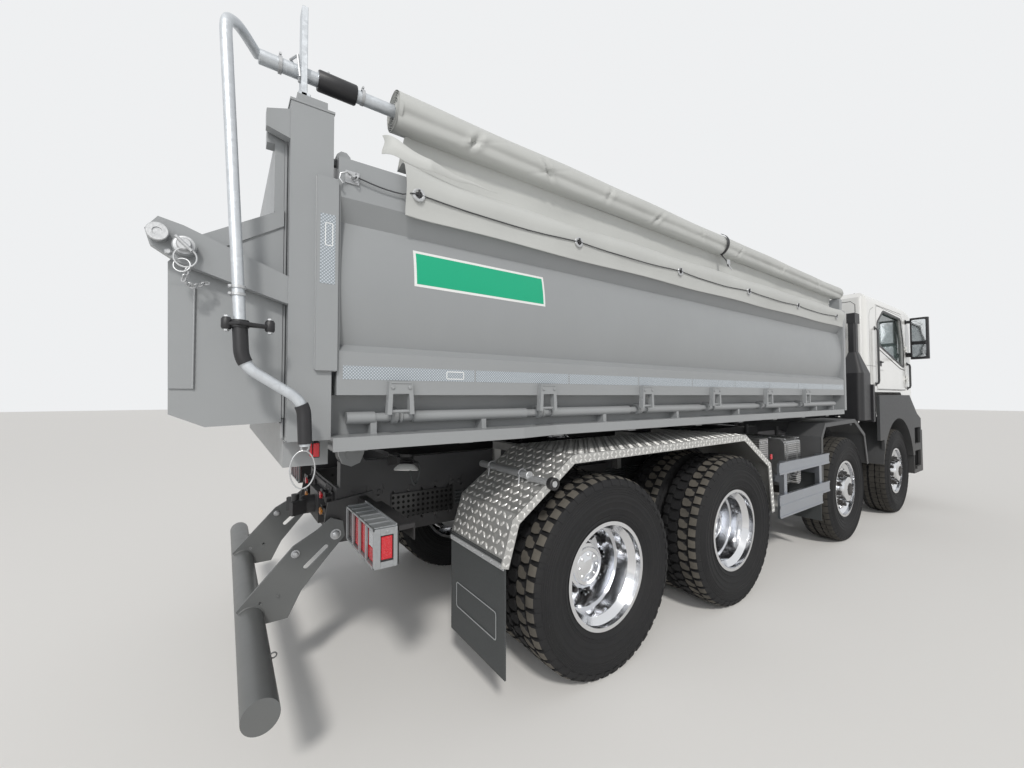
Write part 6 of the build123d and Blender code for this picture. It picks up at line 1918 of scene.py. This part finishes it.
def dash_loop(y, inset):
    """The dashboard's section at a side distance, drawn in towards its center."""
    cx, cz = DASH_CENTER
    return [at(x + (cx - x) * inset / 300, y, z + (cz - z) * inset / 300) for x, z in DASH_SECTION]


def build_dashboard():
    """Dashboard with binnacle, console and vents, the gear lever and the bunk's base."""
    dash = Build()
    loops = [dash_loop(-DASH_HALF, 8.0), dash_loop(-DASH_HALF + DASH_BEVEL, 0.0),
             dash_loop(DASH_HALF - DASH_BEVEL, 0.0), dash_loop(DASH_HALF, 8.0)]
    count = len(DASH_SECTION)
    ends = [tuple(range(count)), tuple(range(3 * count, 4 * count))[::-1]]
    dash.add(flat(loops), ends + wall(4, count))
    dash.box((6255, 330, 2005), (6420, 790, 2095), 0.02)
    dash.box((6236, -120, 1760), (6300, 220, 1985), 0.012)
    dash.box((5000, -1055, 1660), (5195, 1055, 1945), 0.01)
    dash.boxes(0.003, *(((6242, y - 70, 1940), (6252, y + 70, 1985)) for y in (-900, -620, 120, 900)))
    dash.tube([(6010, 120, 1672), (6000, 120, 1860), (5985, 118, 1980)], 0.011, 12)
    dash.revolve((5984, 118, 1975), (0, 0, 1), GEAR_BOOT, 24)
    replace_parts(dash.piece("dashboard", "dark_plastic", "cab", sharp_angle=28.0), "cab_interior")


WHEEL_TILT = math.radians(35)
SPOKES = (0.35, math.pi - 0.35, -1.25, math.pi + 1.25)


def build_steering_wheel():
    """Steering wheel with four spokes on its column, and the dials behind it."""
    wheel, dials = Build(), Build()
    tilt = Vector((-math.cos(WHEEL_TILT), 0, math.sin(WHEEL_TILT)))
    hub = at(6110, 560, 2130)
    ring(wheel, hub, tilt, 0.210, 0.0145, 56, 14)
    wheel.revolve(hub - tilt * 0.02, tilt, [(0.085, 0), (0.088, 0.010), (0.070, 0.026), (0, 0.030)], 36)
    side = tilt.orthogonal().normalized()
    other = tilt.cross(side)
    for turn in SPOKES:
        spoke = side * math.cos(turn) + other * math.sin(turn)
        wheel.tube([hub + spoke * 0.07, hub + spoke * 0.14 - tilt * 0.006, hub + spoke * 0.203], 0.011, 10)
    wheel.rod(hub - tilt * 0.02, hub - tilt * 0.27, 0.030, 24)
    wheel.piece("steering_wheel", "black_plastic", "cab")
    for y, r in ((440, 0.050), (560, 0.034), (680, 0.050)):
        dials.revolve((6254, y, 2050), (-1, 0, 0.2), [(r, -0.004), (r, 0.005), (r * 0.92, 0.007),
                                                      (r * 0.9, 0.002), (0, 0.002)], 28)
    dials.piece("dials", "grey_plastic", "cab")


def build_tank_trim():
    """Straps, drain plugs, hose stubs and terminals on the silencer, battery box and tanks."""
    trim = Build()
    for x in (2470.0, 2750.0):
        trim.box((x - 16, -612, 1150), (x + 16, -1136, 1158), 0.001)
        trim.bolt((x, -1000, 1158), (0, 0, 1), 0.010)
    for n in range(5):
        z = 760 + 90 * n
        trim.box((2458, -1140, z), (2762, -1144, z + 10))
    for x, z in ((2010.0, 590.0), (2010.0, 1150.0), (2115.0, 590.0), (2115.0, 1150.0)):
        trim.bolt((x, -1130, z), (0, -1, 0), 0.009)
    for x in (4600.0, 4880.0):
        trim.box((x - 14, 500, 1080), (x + 14, 820, 1085), 0.001)
    trim.piece("tank_trim", "zinc", "chassis")


build_lamp_guards()
build_lamp_housings()
build_lenses()
build_post_lamps()
build_work_lamps()
build_flap_frames()
build_rail_bolts()
build_rail_trim()
build_couplings()
build_guard_bolts()
build_cab_seams()
build_door_details()
build_cab_rails()
build_mirror_faces()
build_cab_front()
build_wipers()
build_screen_seal()
build_steps()
build_seat_bases()
build_seats()
build_dashboard()
build_steering_wheel()
build_tank_trim()


# Floor, light and camera


FLOOR_HALF = 60.0
FLOOR_COLOR = (0.80, 0.79, 0.77, 1.0)
AMBIENT, AMBIENT_STRENGTH = (0.95, 0.97, 1.0, 1.0), 0.42
BACKDROP = (0.86, 0.87, 0.88, 1.0)


def build_stage():
    """Pale studio floor."""
    mesh = bpy.data.meshes.new("studio_floor")
    half = FLOOR_HALF
    mesh.from_pydata([(-half, -half, 0), (half, -half, 0), (half, half, 0), (-half, half, 0)], [],
                     [(0, 1, 2, 3)])
    floor = bpy.data.objects.new("studio_floor", mesh)
    bpy.context.collection.objects.link(floor)
    shader = Shader("studio_floor")
    shader.set(Base_Color=FLOOR_COLOR, Roughness=0.9)
    floor.data.materials.append(shader.material)


def build_world():
    """Soft light all round, and a pale backdrop for what the camera, gloss and glass see of the world."""
    world = bpy.data.worlds.new("studio")
    bpy.context.scene.world = world
    world.use_nodes = True
    tree = world.node_tree
    background = tree.nodes["Background"]
    background.inputs["Color"].default_value = AMBIENT
    background.inputs["Strength"].default_value = AMBIENT_STRENGTH
    backdrop = tree.nodes.new("ShaderNodeBackground")
    backdrop.inputs["Color"].default_value = BACKDROP
    rays = tree.nodes.new("ShaderNodeLightPath")
    choice = tree.nodes.new("ShaderNodeMixShader")
    seen = rays.outputs["Is Camera Ray"]
    for kind in ("Is Glossy Ray", "Is Transmission Ray"):
        either = tree.nodes.new("ShaderNodeMath")
        either.operation = "MAXIMUM"
        tree.links.new(seen, either.inputs[0])
        tree.links.new(rays.outputs[kind], either.inputs[1])
        seen = either.outputs["Value"]
    tree.links.new(seen, choice.inputs["Fac"])
    tree.links.new(background.outputs["Background"], choice.inputs[1])
    tree.links.new(backdrop.outputs["Background"], choice.inputs[2])
    tree.links.new(choice.outputs["Shader"], tree.nodes["World Output"].inputs["Surface"])


def area_light(name, place, target, size, power):
    """Round area lamp that looks at a target."""
    light = bpy.data.lights.new(name, "AREA")
    light.shape = "DISK"
    light.size = size
    light.energy = power
    lamp = bpy.data.objects.new(name, light)
    lamp.location = place
    lamp.rotation_euler = (Vector(target) - Vector(place)).to_track_quat("-Z", "Y").to_euler()
    bpy.context.collection.objects.link(lamp)


SUN_ENERGY, SUN_ANGLE, SUN_COLOR = 1.75, 0.12, (1.0, 0.97, 0.93)
SUN_TURN = (48, 0, -28)
FILL_PLACE, FILL_TARGET = (-9.0, -7.0, 5.0), (-2.0, 0, 1.2)
FILL_SIZE, FILL_POWER = 6.0, 260.0


def build_lights():
    """Soft sun and a large fill lamp behind the truck."""
    sun = bpy.data.lights.new("soft_sun", "SUN")
    sun.energy = SUN_ENERGY
    sun.angle = SUN_ANGLE
    sun.color = SUN_COLOR
    lamp = bpy.data.objects.new("soft_sun", sun)
    lamp.rotation_euler = [math.radians(degrees) for degrees in SUN_TURN]
    bpy.context.collection.objects.link(lamp)
    area_light("rear_fill", FILL_PLACE, FILL_TARGET, FILL_SIZE, FILL_POWER)


CAMERA_FOCAL_PX = 413.96
CAMERA_PLACE = (-1.7805 - 2.535, -2.8398, 1.5564)
CAMERA_YAW = 55.184
CAMERA_PITCH = 1.64
CAMERA_ROLL = -0.07
SENSOR_WIDTH, PICTURE_WIDTH = 36.0, 1024.0


def build_camera():
    """Camera at the photograph's place and angle, as fitted to points on the truck."""
    camera = bpy.data.cameras.new("photo_view")
    camera.sensor_width = SENSOR_WIDTH
    camera.lens = CAMERA_FOCAL_PX * SENSOR_WIDTH / PICTURE_WIDTH
    camera.clip_start = 0.05
    camera.clip_end = 200.0
    holder = bpy.data.objects.new("photo_view", camera)
    yaw = math.radians(CAMERA_YAW)
    pitch = math.radians(CAMERA_PITCH)
    ahead = Vector((math.cos(yaw) * math.cos(pitch), math.sin(yaw) * math.cos(pitch), math.sin(pitch)))
    roll = Matrix.Rotation(math.radians(CAMERA_ROLL), 3, "Z").to_quaternion()
    turned = ahead.to_track_quat("-Z", "Y") @ roll
    holder.location = CAMERA_PLACE
    holder.rotation_mode = "QUATERNION"
    holder.rotation_quaternion = turned
    bpy.context.collection.objects.link(holder)
    bpy.context.scene.camera = holder


build_stage()
build_world()
build_lights()
build_camera()
bpy.context.scene.view_settings.view_transform = "Standard"
